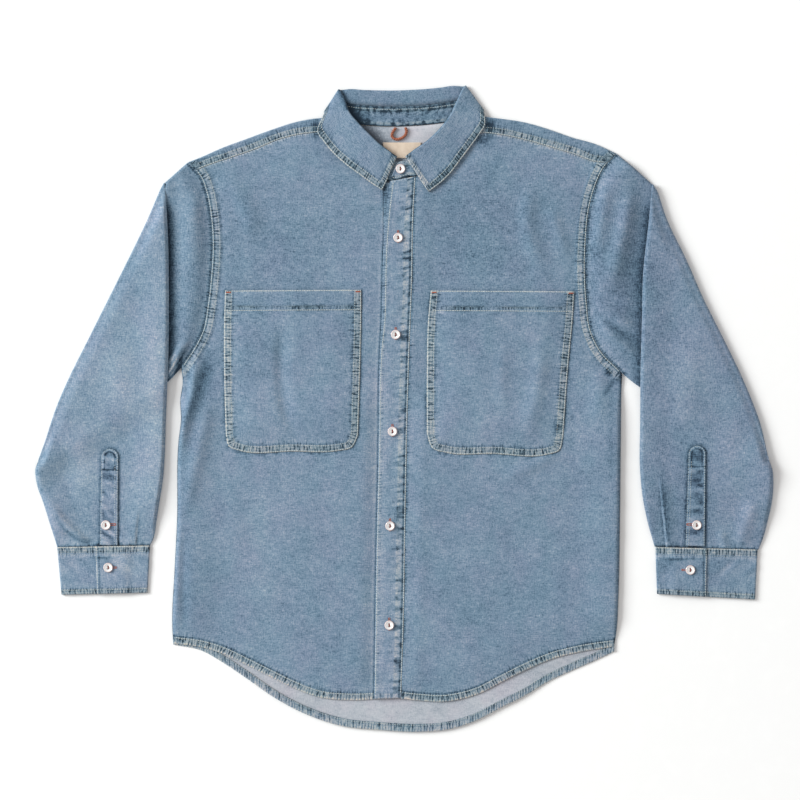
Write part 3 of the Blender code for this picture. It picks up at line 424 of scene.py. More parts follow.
def join(*curves):
    return np.concatenate([curves[0]] + [c[1:] for c in curves[1:]])


def shift(curve, distance):
    """A curve moved sideways to the left of its direction."""
    direction = unit(np.gradient(curve, axis=0))
    return curve + distance * np.stack([-direction[:, 1], direction[:, 0]], 1)


def fractions_of(curve):
    d = lengths(curve)
    return d / d[-1]


def patch(bottom, top, left, right):
    """The grid of points [u][v] between four edges; bottom and top run along u, left and right along v."""
    u = ((fractions_of(bottom) + fractions_of(top)) / 2)[:, None, None]
    v = ((fractions_of(left) + fractions_of(right)) / 2)[None, :, None]
    ends = ((1 - u) * (1 - v) * bottom[0] + u * (1 - v) * bottom[-1] + (1 - u) * v * top[0] + u * v * top[-1])
    return (1 - v) * bottom[:, None] + v * top[:, None] + (1 - u) * left[None] + u * right[None] - ends


def ease(t):
    t = np.clip(t, 0, 1)
    return t * t * (3 - 2 * t)


def graded(length, fine, coarse, margin=13.0):
    """Fractions of a length, with fine steps near both ends and coarse ones between."""
    s = np.linspace(0, length, 600)
    step = fine + (coarse - fine) * ease((np.minimum(s, length - s) - margin) / 12)
    count = np.concatenate([[0], np.cumsum(np.diff(s) / step[1:])])
    return np.interp(np.linspace(0, count[-1], int(count[-1]) + 2), count, s) / length


def raised(grid, height):
    """A flat grid with a height, a number or one for each point, as a third coordinate."""
    z = np.broadcast_to(np.asarray(height, float), grid.shape[:-1])
    return np.concatenate([grid, z[..., None]], -1)


def nearest(x, y, line):
    """Distance of points from a line, how far along it they lie, and 1 on its left or -1 on its right."""
    best = np.full(np.shape(x), np.inf)
    run, side = np.zeros(np.shape(x)), np.zeros(np.shape(x))
    for (ax, ay), (bx, by), start in zip(line[:-1], line[1:], lengths(line)):
        dx, dy = bx - ax, by - ay
        span = np.hypot(dx, dy)
        t = np.clip(((x - ax) * dx + (y - ay) * dy) / span**2, 0, 1)
        d = np.hypot(x - ax - t * dx, y - ay - t * dy)
        closer = d < best
        best = np.where(closer, d, best)
        run = np.where(closer, start + t * span, run)
        side = np.where(closer, np.sign(dx * (y - ay) - dy * (x - ax)), side)
    return best, run, side


def off(x, y, line):
    """Distance of points from a line."""
    return nearest(x, y, line)[0]


def x_at(table, y):
    """The x of a nearly upright line at a height y."""
    line = smooth(table, 60)
    order = np.argsort(line[:, 1])
    return np.interp(y, line[order, 1], line[order, 0])


def cloud(x, y, size, seed):
    """Smooth noise from -1 to 1, with features of about a given size."""
    table = np.random.default_rng(seed).uniform(-1, 1, (61, 61))
    gx, gy = np.asarray(x, float) / size + 1000, np.asarray(y, float) / size + 1000
    i, j = np.floor(gx).astype(int), np.floor(gy).astype(int)
    a, b = ease(gx - i), ease(gy - j)
    rows = [table[i % 61, (j + n) % 61] * (1 - a) + table[(i + 1) % 61, (j + n) % 61] * a for n in (0, 1)]
    return rows[0] * (1 - b) + rows[1] * b


def sway(run, size, seed):
    """Smooth noise along a line."""
    return cloud(run, 0 * run, size, seed)


def blobs(x, y, column):
    """The sum of the table's soft spots, of dye and of painted shade and light: their tone (column 2) or
    their grain (column 3).
    """
    return sum(row[column] * np.exp(-((x - row[0][0]) / row[1][0]) ** 2 - ((y - row[0][1]) / row[1][1]) ** 2)
               for row in FADE_AND_SHADE_SPOTS)


def window(d, start, end, soft=1.2):
    """1 between two distances and 0 outside them, with soft ends."""
    return ease((d - start) / soft + 0.5) * (1 - ease((d - end) / soft + 0.5))


def mark(d, centre, width):
    """A soft line at one distance."""
    return np.exp(-((d - centre) / width) ** 2)


def folds(x, y, table):
    """How far the soft folds of a table raise the cloth; each fades out towards its ends."""
    total = np.zeros(np.shape(x))
    for crest, height, left, right in table:
        line = smooth(crest, 16)
        d, run, side = nearest(x, y, line)
        reach = lengths(line)[-1]
        fade = ease(run / (0.3 * reach)) * ease((reach - run) / (0.3 * reach))
        total += height * mark(d, 0, np.where(side > 0, left, right)) * fade
    return total


def edge_roll(d, height, radius, reach):
    """A soft roll along an edge: up from it in a quarter round, and partly down again further in."""
    rise = np.sqrt(np.clip(1 - (1 - np.clip(d / radius, 0, 1)) ** 2, 0, 1))
    return height * rise * (1 - 0.6 * ease((d - radius) / reach))


# ---- pattern lines worked out from the tables
def armhole(side):
    """The armhole in two parts: from the armpit up to the shoulder seam, and on over the shoulder."""
    line = smooth(ARMHOLE[side], 400)
    reach = lengths(line)
    at_yoke = np.interp(YOKE_SEAM_Y, line[:, 1], reach)
    split = np.searchsorted(reach, at_yoke + SHOULDER_AT * (reach[-1] - at_yoke))
    return line[:split + 1], line[split:]


def shoulder_seam(side):
    return smooth([armhole(side)[0][-1]] + SHOULDER_SEAM[side], 100)


def sewn_edge(side):
    """The sides and the bottom of a pocket."""
    outer, bottom, inner = (smooth(POCKET[side][part]) for part in ("outer", "bottom", "inner"))
    return join(outer, bottom, inner[::-1])


def pocket_corners(side):
    """The outer and inner end of a pocket's mouth."""
    return [np.array(POCKET[side][part][0], float) for part in ("outer", "inner")]


def cuff_ends(side, v):
    """Both ends of the line across a cuff at a share v of its depth."""
    outer, inner = (np.array(CUFF[side][part], float) for part in ("outer", "inner"))
    return outer[0] * (1 - v) + outer[1] * v, inner[0] * (1 - v) + inner[1] * v


def placket_rows(side, inset=0.0):
    """A sleeve placket's tip, its two directions, and the distance down and half width of its rows."""
    shape = SLEEVE_PLACKET[side]
    tip, foot = (np.array(p, float) for p in shape["axis"])
    length, shoulder = np.linalg.norm(foot - tip), shape["width"][0] / 2
    angles = np.radians(np.linspace(8, 90, 12))
    s = np.linspace(0, 1, 90)[1:]
    rows = np.concatenate([
        np.column_stack([shoulder * (1 - np.cos(angles)), shoulder * np.sin(angles)]),
        np.column_stack([shoulder + (length - shoulder) * s,
                         (shape["width"][0] * (1 - s) + shape["width"][1] * s) / 2])])
    rows[:, 0] += inset * (rows[:, 0] < shoulder) * (1 - rows[:, 0] / shoulder)
    rows[:, 1] -= inset
    down = (foot - tip) / length
    return tip, down, np.array([-down[1], down[0]]), rows


def placket_edge(side, which, inset=0.0):
    """One long edge of a sleeve placket (-1 or 1), from its tip down."""
    tip, down, sideways, rows = placket_rows(side, inset)
    return tip + down * rows[:, :1] + which * sideways * rows[:, 1:]


def placket_outline(side, inset=0.0):
    return join(placket_edge(side, -1, inset)[::-1], placket_edge(side, 1, inset))


def neck_lift(x, y):
    """How far the collar beneath it lifts the back of the neck."""
    return NECK_LIFT * ease((y - 315) / 36) * ease((160 - abs(x + 3)) / 44)


def front_outline(side):
    """The lower armhole, the shoulder seam and the band edge, where a front lies flat."""
    rest = shoulder_seam(side), smooth(NECKLINE[side]), smooth(BAND_EDGE[side])
    return along(join(armhole(side)[0], *rest), 120)


def front_surface(x, y, side):
    """The middle of a front with its folds and the slight waves of cloth that isn't pressed."""
    low = ease((50 - y) / 40) * (1 - ease(abs(x - x_at(SIDE[side], y)) / 25))
    z = FRONT_Z - (FRONT_Z - SIDE_Z) * low + neck_lift(x, y)
    if side == "left":
        z = z + (TOP_BAND_Z - FRONT_Z) * (1 - ease((x - x_at(TOP_BAND_SEWN, y)) / 32))
    calm = ease(off(x, y, front_outline(side)) / 24)
    waves = 0.5 * (1 + cloud(x, y, 46, 3)) + 0.16 * (1 + cloud(x, y, 17, 4))
    from_side, hem = (off(x, y, smooth(line[side], 60)) for line in (SIDE, FRONT_HEM))
    roll = edge_roll(from_side, 5.6, 6, 60) * ease((40 - y) / 50) * ease(hem / 45) * calm
    return z + waves * calm + roll + folds(x, y, FRONT_FOLDS[side])


# ---- relief and marks of sewn, washed cloth
MARKS = ("run", "edge", "band", "worn_and_lit", "dark_dye_and_shade", "fade", "grit")
NO_SEAM = 40.0       # value of edge where no seam is near


class Marks:
    """The relief of a piece of cloth, what sewing and washing leave on it, and the shade and light painted on
    it, point by point.

    run and edge are millimetres along and away from the nearest seam, band says how strongly the seam's
    puckers show, worn_and_lit how much paler the cloth is where dye has rubbed off and where a highlight is
    painted, dark_dye_and_shade how much darker it is where dye is left in a hollow and where shade is
    painted, and fade how far its tone moves where washing left more or less dye and where shade and light are
    painted.
    """

    def __init__(self, grid):
        self.x, self.y = grid[..., 0], grid[..., 1]
        self.z, self.run, self.band, self.worn_and_lit, self.dark_dye_and_shade, self.fade = np.zeros((6, *self.x.shape))
        self.edge = np.full(self.x.shape, NO_SEAM)

    def off(self, line):
        return off(self.x, self.y, line)

    def deepen(self, amount):
        self.dark_dye_and_shade = np.maximum(self.dark_dye_and_shade, amount)

    def rub(self, amount):
        self.worn_and_lit = np.maximum(self.worn_and_lit, amount)

    def tone(self, d, *lines):
        """Soft darker or paler lines beside a seam, each an amount, a distance and a half width."""
        self.fade += sum(amount * mark(d, centre, width) for amount, centre, width in lines)

    def cloud(self, size, seed):
        return cloud(self.x, self.y, size, seed)

    def pucker(self, band, run, edge):
        """Puckers where they are stronger than those of other seams."""
        closer = band > self.band
        self.run = np.where(closer, run, self.run)
        self.edge = np.where(closer, edge, self.edge)
        self.band = np.maximum(self.band, band)

    def line(self, line, seed, width, **how):
        """A seam along a line of points."""
        d, run, _ = nearest(self.x, self.y, along(line, 70))
        self.seam(d, run, seed, width, **how)

    def seam(self, d, run, seed, width, rise=0.0, rows=(), pucker=0.28, strength=1.0, lip=0.4, tail=0.3,
             bars=(1.0, 1.0)):
        """A welt from a seam inwards, with grooves at its rows of stitches and puckers that run out past it.

        rise and pucker are heights, strength is that of the dark marks, lip the wear on the edge itself, and
        tail how much of the marks goes on past the welt. bars says how much longer than usual the puckers'
        marks are along the seam and across it.
        """
        self.z += rise * ease(d / 1.3 + 0.3) * (1 - ease((d - width) / 1.6))
        for row in rows:
            self.z -= 0.25 * mark(d, row, 0.8)
            self.deepen(0.6 * strength * mark(d, row + 1.6, 0.75))
            self.deepen(0.45 * strength * mark(d, row - 1.5, 0.75) * (row > 3))
        uneven = 0.6 * sway(run, 6.5, seed) + 0.5 * sway(run, 15, seed + 1)
        self.z += pucker * uneven * window(d, -2, width + 2, 5)
        band = strength * (window(d, -1.5, width, 1.5) + tail * mark(d, width + 2, 5))
        self.pucker(band, run / bars[0] + 97 * seed, d / bars[1])
        self.rub(lip * mark(d, 0.2, 0.9))
        # painted shadow just past the edge of a raised welt
        self.deepen(0.5 * strength * mark(d, width + 1.2, 1.3) * (rise > 0))

    def fold(self, table):
        """Soft folds, with a little dye rubbed off their crests."""
        height = folds(self.x, self.y, table)
        self.z += height
        self.rub(0.06 * np.clip(height, 0, 2))

    def shade(self, table):
        """Painted shade and light: streaks of tone along folds and creases."""
        self.fade += folds(self.x, self.y, table)

    def values(self):
        return {"run": self.run, "edge": self.edge, "band": np.clip(self.band, 0, 1),
                "worn_and_lit": np.clip(self.worn_and_lit, 0, 1), "dark_dye_and_shade": np.clip(self.dark_dye_and_shade, 0, 1),
                "fade": self.fade + blobs(self.x, self.y, 2), "grit": blobs(self.x, self.y, 3)}


def joined(*parts, axis=0):
    """The values of several marks, one after the other."""
    return {key: np.concatenate([part[key] for part in parts], axis) for key in MARKS}


# ---- materials
LIGHT = 1.3          # brightness of white cloth in the studio, which the colours below are divided by


def tint(red, green, blue):
    """The reflectance of a material that shows as this colour (0 to 255) under the studio light."""
    shown = np.array([red, green, blue]) / 255
    linear = np.where(shown < 0.04045, shown / 12.92, ((shown + 0.055) / 1.055) ** 2.4)
    return (*(linear / LIGHT), 1.0)


class Paint:
    """A material made of nodes, with short names for those that it needs."""

    def __init__(self, name, sockets):
        self.material = bpy.data.materials.new(name)
        self.material.use_nodes = True
        self.tree = self.material.node_tree
        self.shader = self.tree.nodes["Principled BSDF"]
        for socket, value in sockets.items():
            self.shader.inputs[socket].default_value = value

    def node(self, kind, inputs=(), **settings):
        made_node = self.tree.nodes.new(kind)
        for name, value in settings.items():
            setattr(made_node, name, value)
        for socket, value in inputs:
            self.feed(made_node.inputs[socket], value)
        return made_node

    def feed(self, socket, value):
        if isinstance(value, bpy.types.NodeSocket):
            self.tree.links.new(value, socket)
        else:
            socket.default_value = value

    def math(self, operation, *values):
        return self.node("ShaderNodeMath", enumerate(values), operation=operation).outputs[0]

    def attribute(self, name):
        return self.node("ShaderNodeAttribute", attribute_name=name).outputs["Fac"]

    def place(self):
        return self.node("ShaderNodeTexCoord").outputs["Object"]

    def uv(self):
        """The cloth's own coordinates in millimetres, warp along V."""
        return self.scaled(self.node("ShaderNodeUVMap", uv_map="Weave").outputs["UV"], 1000, 1000)

    def scaled(self, place, x, y):
        inputs = [(0, place), (1, (x, y, 1.0))]
        return self.node("ShaderNodeVectorMath", inputs, operation="MULTIPLY").outputs[0]

    def noise(self, place, size, detail=2.0, roughness=0.5):
        """Noise from -1 to 1, mostly within half of that, with features of about a size."""
        inputs = [("Vector", place), ("Scale", 1 / size), ("Detail", detail), ("Roughness", roughness)]
        return self.math("MULTIPLY_ADD", self.node("ShaderNodeTexNoise", inputs).outputs["Fac"], 2.0, -1.0)

    def stripes(self, place, direction, scale, **more):
        inputs = [("Vector", place), ("Scale", scale)] + [(key.replace("_", " "), more[key]) for key in more]
        return self.node("ShaderNodeTexWave", inputs, bands_direction=direction).outputs["Fac"]

    def total(self, *terms):
        """The sum of terms, each a value and a weight."""
        result = 0.0
        for value, weight in terms:
            result = self.math("MULTIPLY_ADD", value, weight, result)
        return result

    def cast(self, colour, share, tinge):
        """A colour multiplied by a tinge, as far as the share says."""
        return self.node("ShaderNodeMix", [(0, share), (6, colour), (7, tinge)], data_type="RGBA",
                         blend_type="MULTIPLY", clamp_factor=True).outputs[2]

    def ramp(self, value, stops):
        """The colour between stops, each a place and a colour as it shows."""
        made_ramp = self.node("ShaderNodeValToRGB", [("Fac", value)])
        elements = made_ramp.color_ramp.elements
        elements.remove(elements[1])
        for number, (place, shown) in enumerate(stops):
            element = elements.new(place) if number else elements[0]
            element.position = place
            element.color = tint(*shown)
        return made_ramp.outputs["Color"]

    def finish(self, colour):
        self.feed(self.shader.inputs["Base Color"], colour)
        return self.material

    def bump(self, height, strength, distance):
        inputs = [("Strength", strength), ("Distance", distance * MM), ("Height", height)]
        self.feed(self.shader.inputs["Normal"], self.node("ShaderNodeBump", inputs).outputs["Normal"])


# How much indigo is left, from all of it to none, as the colours that show.
INDIGO = [
    (0.00, (34, 54, 72)), (0.22, (74, 100, 122)), (0.42, (106, 134, 156)), (0.50, (118, 143, 165)),
    (0.60, (132, 154, 174)), (0.75, (156, 173, 188)), (0.90, (184, 194, 200)), (1.00, (206, 210, 208)),
]
REVERSE = [
    (0.00, (96, 106, 118)), (0.35, (158, 167, 178)), (0.50, (180, 186, 195)), (0.75, (200, 204, 210)),
    (1.00, (214, 216, 220)),
]
MIDDLE_TONE = 0.475
SEAM_CAST = (1.07, 1.0, 0.89, 1.0)      # seams are a little greener: cream thread and rubbed yarns
WASH_CAST = (1.085, 0.97, 1.0, 1.0)     # and the wash leaves patches that are more violet
TWILL = {"Roughness": 0.93, "Sheen Weight": 0.12, "Sheen Roughness": 0.5, "Specular IOR Level": 0.2}
YARNS = (            # scale across and along the warp, size, detail and roughness of four layers of noise
    (1.0, 0.8, 1.7, 3.0, 0.75), (1.0, 0.16, 1.2, 2.0, 0.6),
    (0.22, 1.0, 1.3, 2.0, 0.6), (0.4, 1.0, 4.5, 2.0, 0.6),
)


def cloth_paint(name, stops, grain, seams, warp_share=0.45, wash=0.40):
    """Washed twill: a tone from dark to pale, which the weave, the washing, the seams and the painted shade
    and light move.
    """
    paint = Paint(name, TWILL)
    weave = paint.uv()
    slubs, warp, weft, mottle = (paint.noise(paint.scaled(weave, x, y), *rest) for x, y, *rest in YARNS)
    blotches = paint.noise(weave, 17, 3.0, 0.6)
    washes = paint.noise(weave, 70, 1.0)
    casts = paint.noise(paint.scaled(weave, 1.0, 0.7), 38, 2.0, 0.5)
    wales = paint.stripes(weave, "DIAGONAL", 0.4, Distortion=3.0, Detail_Scale=1.2)
    run, edge, band, worn_and_lit, dark_dye_and_shade, fade, grit = (paint.attribute(key) for key in MARKS)
    flat_edge = paint.math("MULTIPLY", edge, 0.22)
    across = paint.node("ShaderNodeCombineXYZ", [("X", run), ("Y", flat_edge)]).outputs[0]
    bars = paint.noise(across, 2.1, 2.0, 0.65)
    spread = paint.noise(across, 8, 1.0)
    beat = paint.stripes(across, "X", 0.085, Distortion=5.0, Detail=1.0, Detail_Scale=3.0)
    streaks = paint.math("MINIMUM", paint.total((bars, 1.25), (spread, 0.5), (beat, 0.55)), 0.40)
    streaks = paint.math("MULTIPLY", band, streaks)
    threads = paint.total((slubs, 0.85 * grain), (warp, warp_share * grain), (weft, 0.5 * grain),
                          (mottle, 0.15), (blotches, 0.13))
    threads = paint.math("MULTIPLY", threads, paint.math("ADD", grit, 1.0))
    tone = paint.total((threads, 1.0), (washes, 0.09), (wales, 0.05), (streaks, 1.0 * seams),
                       (band, -0.13 * seams), (worn_and_lit, 0.40 * seams), (dark_dye_and_shade, -0.34 * seams), (fade, 1.0))
    colour = paint.ramp(paint.math("ADD", tone, MIDDLE_TONE), stops)
    seam_share = paint.math("MULTIPLY", paint.math("POWER", band, 2.0), seams)
    colour = paint.cast(colour, seam_share, SEAM_CAST)
    wash_share = paint.total((casts, 1.3), (fade, 1.2))
    colour = paint.cast(colour, paint.math("ADD", wash_share, wash), WASH_CAST)
    paint.bump(paint.total((slubs, 0.5), (warp, 0.4), (wales, 0.5), (streaks, 0.8)), 0.4, 0.4)
    return paint.finish(colour)


def plain_paint(name, shown, roughness, amount):
    """A colour with slight mottling, for thread and cord."""
    paint = Paint(name, {"Roughness": roughness})
    mottle = paint.noise(paint.place(), 1.2 * MM, 3.0, 0.6)
    dark, pale = (tuple(min(255, c * (1 + change)) for c in shown) for change in (-amount, amount))
    colour = paint.ramp(paint.math("ADD", mottle, 0.5), [(0.1, dark), (0.5, shown), (0.9, pale)])
    paint.bump(mottle, 0.2, 0.1)
    return paint.finish(colour)


def pearl():
    paint = Paint("Pearl", {"Roughness": 0.22, "Coat Weight": 0.4, "Coat Roughness": 0.1})
    swirl = paint.noise(paint.place(), 3.5 * MM, 2.0, 0.5)
    # the rim shows darker and pinker: painted shade round the button's edge
    tone = paint.total((swirl, 0.35), (paint.attribute("rim"), 0.7))
    return paint.finish(paint.ramp(paint.math("ADD", tone, 0.15),
                                   [(0.0, (246, 246, 246)), (0.45, (236, 232, 231)), (1.0, (214, 186, 184))]))


def label_paint():
    paint = Paint("Label", {"Roughness": 0.85})
    weave = paint.uv()
    ribs = paint.stripes(weave, "Y", 0.42)
    tone = paint.total((ribs, 0.2), (paint.noise(weave, 6, 3.0), 0.5))
    colour = paint.ramp(paint.math("ADD", tone, 0.3), [(0.0, (212, 192, 171)), (0.5, (230, 211, 191)),
                                                       (1.0, (240, 228, 211))])
    paint.bump(ribs, 0.3, 0.15)
    return paint.finish(colour)


DENIM = cloth_paint("Denim", INDIGO, 0.52, 1.0)
SLEEVE_DENIM = {side: cloth_paint(f"Denim {side} sleeve", INDIGO, 0.51, 1.0, 0.6, wash)
                for side, wash in (("right", 0.15), ("left", 0.7))}
INSIDE = cloth_paint("Denim inside", REVERSE, 0.36, 0.3, wash=0.05)
CREAM_THREAD = plain_paint("Cream thread", (198, 206, 204), 0.75, 0.10)
ORANGE_THREAD = plain_paint("Orange thread", (168, 90, 68), 0.75, 0.16)
RED_THREAD = plain_paint("Red thread", (128, 44, 34), 0.75, 0.16)
CORD = plain_paint("Orange cord", (160, 96, 72), 0.8, 0.4)


# ---- making the pieces
made = {}            # the finished pieces by name


def new_mesh(name, points, faces, *materials):
    """A smooth-shaded mesh from points in millimetres."""
    mesh = bpy.data.meshes.new(name)
    mesh.from_pydata((np.asarray(points) * MM).tolist(), [], faces)
    mesh.polygons.foreach_set("use_smooth", np.ones(len(mesh.polygons), bool))
    for material in materials:
        mesh.materials.append(material)
    return mesh


def add_layer(mesh, key, values):
    """A number for each vertex, which materials read."""
    mesh.attributes.new(key, "FLOAT", "POINT").data.foreach_set("value", values.astype(np.float32))


def placed(name, data, place=(0, 0, 0)):
    thing = bpy.data.objects.new(name, data)
    thing.location = place
    bpy.context.scene.collection.objects.link(thing)
    return thing


def finish_piece(thing, slot, *nodes):
    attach(thing, "root")
    if nodes:
        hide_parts(*nodes)
    made[thing.name] = thing


def cloth(node, kind, grids, values, thickness=PLY, materials=(DENIM, INSIDE), grain=None, slot="denim",
          faces_down=(), closed=False):
    """A piece of cloth from grids of points [i][j] that share edges, as a thin closed shell.

    values holds, for each grid, what its material reads, and grain the cloth's own coordinates, which are x
    and y unless they are given. materials are those of the outside and the inside. The outside is up, or down
    in the grids whose numbers faces_down lists. closed joins the last j to the first.
    """
    name = f"{node}_{kind}"
    points = np.concatenate([g.reshape(-1, 3) for g in grids])
    _, first, merged = np.unique(np.round(points, 3), axis=0, return_index=True, return_inverse=True)
    merged = merged.ravel()
    vertices = points[first]
    vertices[:, 2] = np.maximum(vertices[:, 2], thickness / 2 + LEAST_CLEARANCE)
    quads, start = [], 0
    for number, g in enumerate(grids):
        rows, columns = g.shape[:2]
        index = merged[start:start + rows * columns].reshape(rows, columns)
        start += rows * columns
        if closed:
            index = np.concatenate([index, index[:, :1]], 1)
        strip = np.stack([index[:-1, :-1], index[1:, :-1], index[1:, 1:], index[:-1, 1:]], -1).reshape(-1, 4)
        corner = vertices[strip]
        facing = np.cross(corner[:, 2] - corner[:, 0], corner[:, 3] - corner[:, 1])[:, 2]
        height = corner.mean(1)[:, 2]
        # The highest fifth of its faces tells which way a grid looks.
        looks_down = facing[height > np.percentile(height, 80)].sum() < 0
        quads.append(strip[:, ::-1] if looks_down != (number in faces_down) else strip)
    mesh = new_mesh(name, vertices + OFFSET, np.concatenate(quads).tolist(), *materials)
    for key in MARKS:
        layer = np.concatenate([np.broadcast_to(v.get(key, 0.0), g.shape[:2]).ravel()
                                for v, g in zip(values, grids)])
        add_layer(mesh, key, layer[first])
    weave = np.concatenate([c.reshape(-1, 2) for c in grain or [g[..., :2] for g in grids]])
    corners = np.zeros(len(mesh.loops), np.int32)
    mesh.loops.foreach_get("vertex_index", corners)
    weave = (weave[first][corners] * MM).astype(np.float32)
    mesh.uv_layers.new(name="Weave").data.foreach_set("uv", weave.ravel())
    thing = placed(name, mesh)
    solidify = thing.modifiers.new("Thickness", "SOLIDIFY")
    solidify.thickness = thickness * MM
    solidify.offset = 0
    solidify.material_offset = len(materials) - 1
    finish_piece(thing, slot, node)


class Surface:
    """Finds the top of what has been made so far."""

    def __init__(self, names):
        bpy.context.view_layer.update()
        graph = bpy.context.evaluated_depsgraph_get()
        self.trees = [BVHTree.FromObject(made[n], graph) for n in names]

    def hit(self, x, y):
        """The point and the normal of the surface at x, y."""
        start = Vector((x + OFFSET[0], y + OFFSET[1], 100)) * MM
        found = [tree.ray_cast(start, Vector((0, 0, -1))) for tree in self.trees]
        found = [(place, normal) for place, normal, _, _ in found if place]
        if not found:
            return None
        place, normal = max(found, key=lambda f: f[0].z)
        return np.array(place) / MM - OFFSET, np.array(-normal if normal.z < 0 else normal)


# ---- the body
FOLD_ROWS = 6        # round a turned edge


def turned_depths(depth):
    """How far in from its fold each row of a turned edge lies."""
    return np.arange(1.5, depth + 0.1, 1.5)


def turned_edge(edge, next_row, radius, depth, side):
    """Rows that take a piece's edge round a fold and back beneath it (side -1) or over it (side 1)."""
    inward = unit((next_row - edge) * (1, 1, 0))
    up = np.array([0, 0, side])
    rows = [edge - inward * radius * np.sin(a) + up * radius * (1 - np.cos(a))
            for a in np.linspace(0, np.pi, FOLD_ROWS + 1)[1:]]
    rows += [rows[-1] + inward * d for d in turned_depths(depth)]
    return np.stack(rows[::-1], 1)


def build_back():
    columns, rows = graded(551, 2.6, 6.5), graded(600, 2.2, 6.5)
    hem = along(smooth(BACK_HEM), columns)
    edges = {}
    for side, end in zip(SIDES, (hem[0], hem[-1])):
        lower_armhole = armhole(side)[0]
        below_yoke = lower_armhole[lower_armhole[:, 1] <= YOKE_SEAM_Y]
        edges[side] = along(join(smooth(SIDE[side][::-1]), below_yoke), rows) + (INWARD[side] * SEAM, 0)
        edges[side][0] = end
    grid = patch(hem, straight(edges["right"][-1], edges["left"][-1], columns), edges["right"], edges["left"])
    grid[:, -1, 1] -= SEAM
    marks = Marks(grid)
    marks.line(hem, 11, 0, pucker=0, strength=0.3)
    for seed, side in enumerate(SIDES, 12):
        marks.line(edges[side], seed, 8, pucker=0, strength=0.6)
    at_sides = 0.9 * sum(ease(1 - marks.off(along(edges[side], 60)) / 3) for side in SIDES)
    above = marks.y - hem[:, None, 1]
    inner = 0.35 * (1 + marks.cloud(30, 8)) * ease((70 - above) / 50) * ease((above - 12) / 8)
    curl = 2.2 * mark(above, 0, 12) * ease((215 - abs(marks.x + 15)) / 70)
    main = raised(grid, LOWEST + at_sides + inner + curl)
    band = turned_edge(main[:, 0], main[:, 1], 0.46, HEM, 1)
    run = np.repeat(lengths(hem)[:, None], band.shape[1], 1)
    depth = np.concatenate([turned_depths(HEM)[::-1], np.zeros(FOLD_ROWS)])
    depth = np.repeat(depth[None], len(hem), 0)
    folded = Marks(band)
    folded.seam(depth, run, 21, WELT, rows=(7.4,), pucker=0.25, lip=0.3, strength=0.85)
    folded.fade -= 0.02
    folded.deepen(0.9 * mark(depth, HEM - 0.4, 0.9))
    band[..., 2] += np.maximum(folded.z, -0.1) * (depth > 0)
    values = joined(folded.values(), marks.values(), axis=1)
    cloth("back", "panel", [np.concatenate([band, main], 1)], [values], faces_down=(0,))


def build_yoke():
    """The back of the yoke, the turn over each shoulder and the strip in front of it."""
    wing, up_steps, neck_steps = graded(185, 2.6, 5), graded(77, 3, 5), np.linspace(0, 1, 34)
    strip_steps = np.linspace(0, 1, 10)[:, None, None]
    grids, values, at_neck = [], [], {}
    for side in SIDES:
        inward = INWARD[side]
        line = join(*armhole(side))
        hole = along(line[line[:, 1] >= YOKE_SEAM_Y], up_steps) + (inward * SEAM, 0)
        hole[0, 1] = YOKE_SEAM_Y + SEAM
        fold = along(smooth(SHOULDER_FOLD[side]), wing)
        fold[0] = hole[-1]
        seam = shift(along(shoulder_seam(side), wing), inward * SEAM)
        at_neck[side] = straight((0.86 * fold[-1, 0], hole[0, 1]), fold[-1], up_steps)
        back = patch(straight(hole[0], at_neck[side][0], wing), fold, hole, at_neck[side])
        back_z = LOWEST + neck_lift(back[..., 0], back[..., 1])
        outward = shift(fold, inward) - fold
        turns = [np.column_stack([fold + outward * TURN * np.sin(a), back_z[:, -1] + TURN * (1 - np.cos(a))])
                 for a in np.radians((30, 60, 90, 120, 150))]
        strip = fold * (1 - strip_steps) + seam * strip_steps
        marks = Marks(strip)
        marks.line(seam, 31 + inward, 8.5, rise=0.6, rows=(1.2, 7.5), strength=0.9)
        marks.line(hole, 35 + inward, WELT, rise=0.4, rows=(1.2, 8.3), strength=0.9, lip=0.2)
        marks.fade -= 0.06
        front = raised(strip, FRONT_Z + neck_lift(marks.x, marks.y) + marks.z)
        grids.append(np.stack([*raised(back, back_z).transpose(1, 0, 2), *turns, *front]))
        plain = Marks(np.zeros((len(up_steps) + len(turns), len(wing), 2)))
        values.append(joined(plain.values(), marks.values()))
    bottom = straight(at_neck["right"][0], at_neck["left"][0], neck_steps)
    middle = patch(bottom, along(smooth(BACK_NECKLINE), neck_steps), at_neck["right"], at_neck["left"])
    middle = middle.transpose(1, 0, 2)
    shaded = Marks(middle)
    grids.append(raised(middle, LOWEST + neck_lift(shaded.x, shaded.y)))
    # painted shade and light inside the neck: darker on the right, in the shade of the collar's right leaf
    # and most near its roll, and paler on the left
    shaded.fade += 0.30 * ease((shaded.x + 30) / 55) - 0.10
    shaded.tone(shaded.off(smooth([row[2] for row in RIGHT_LEAF], 40)), (-0.5, 0, 11))
    cloth("yoke", "panel", grids, values + [shaded.values()], faces_down=(2,))


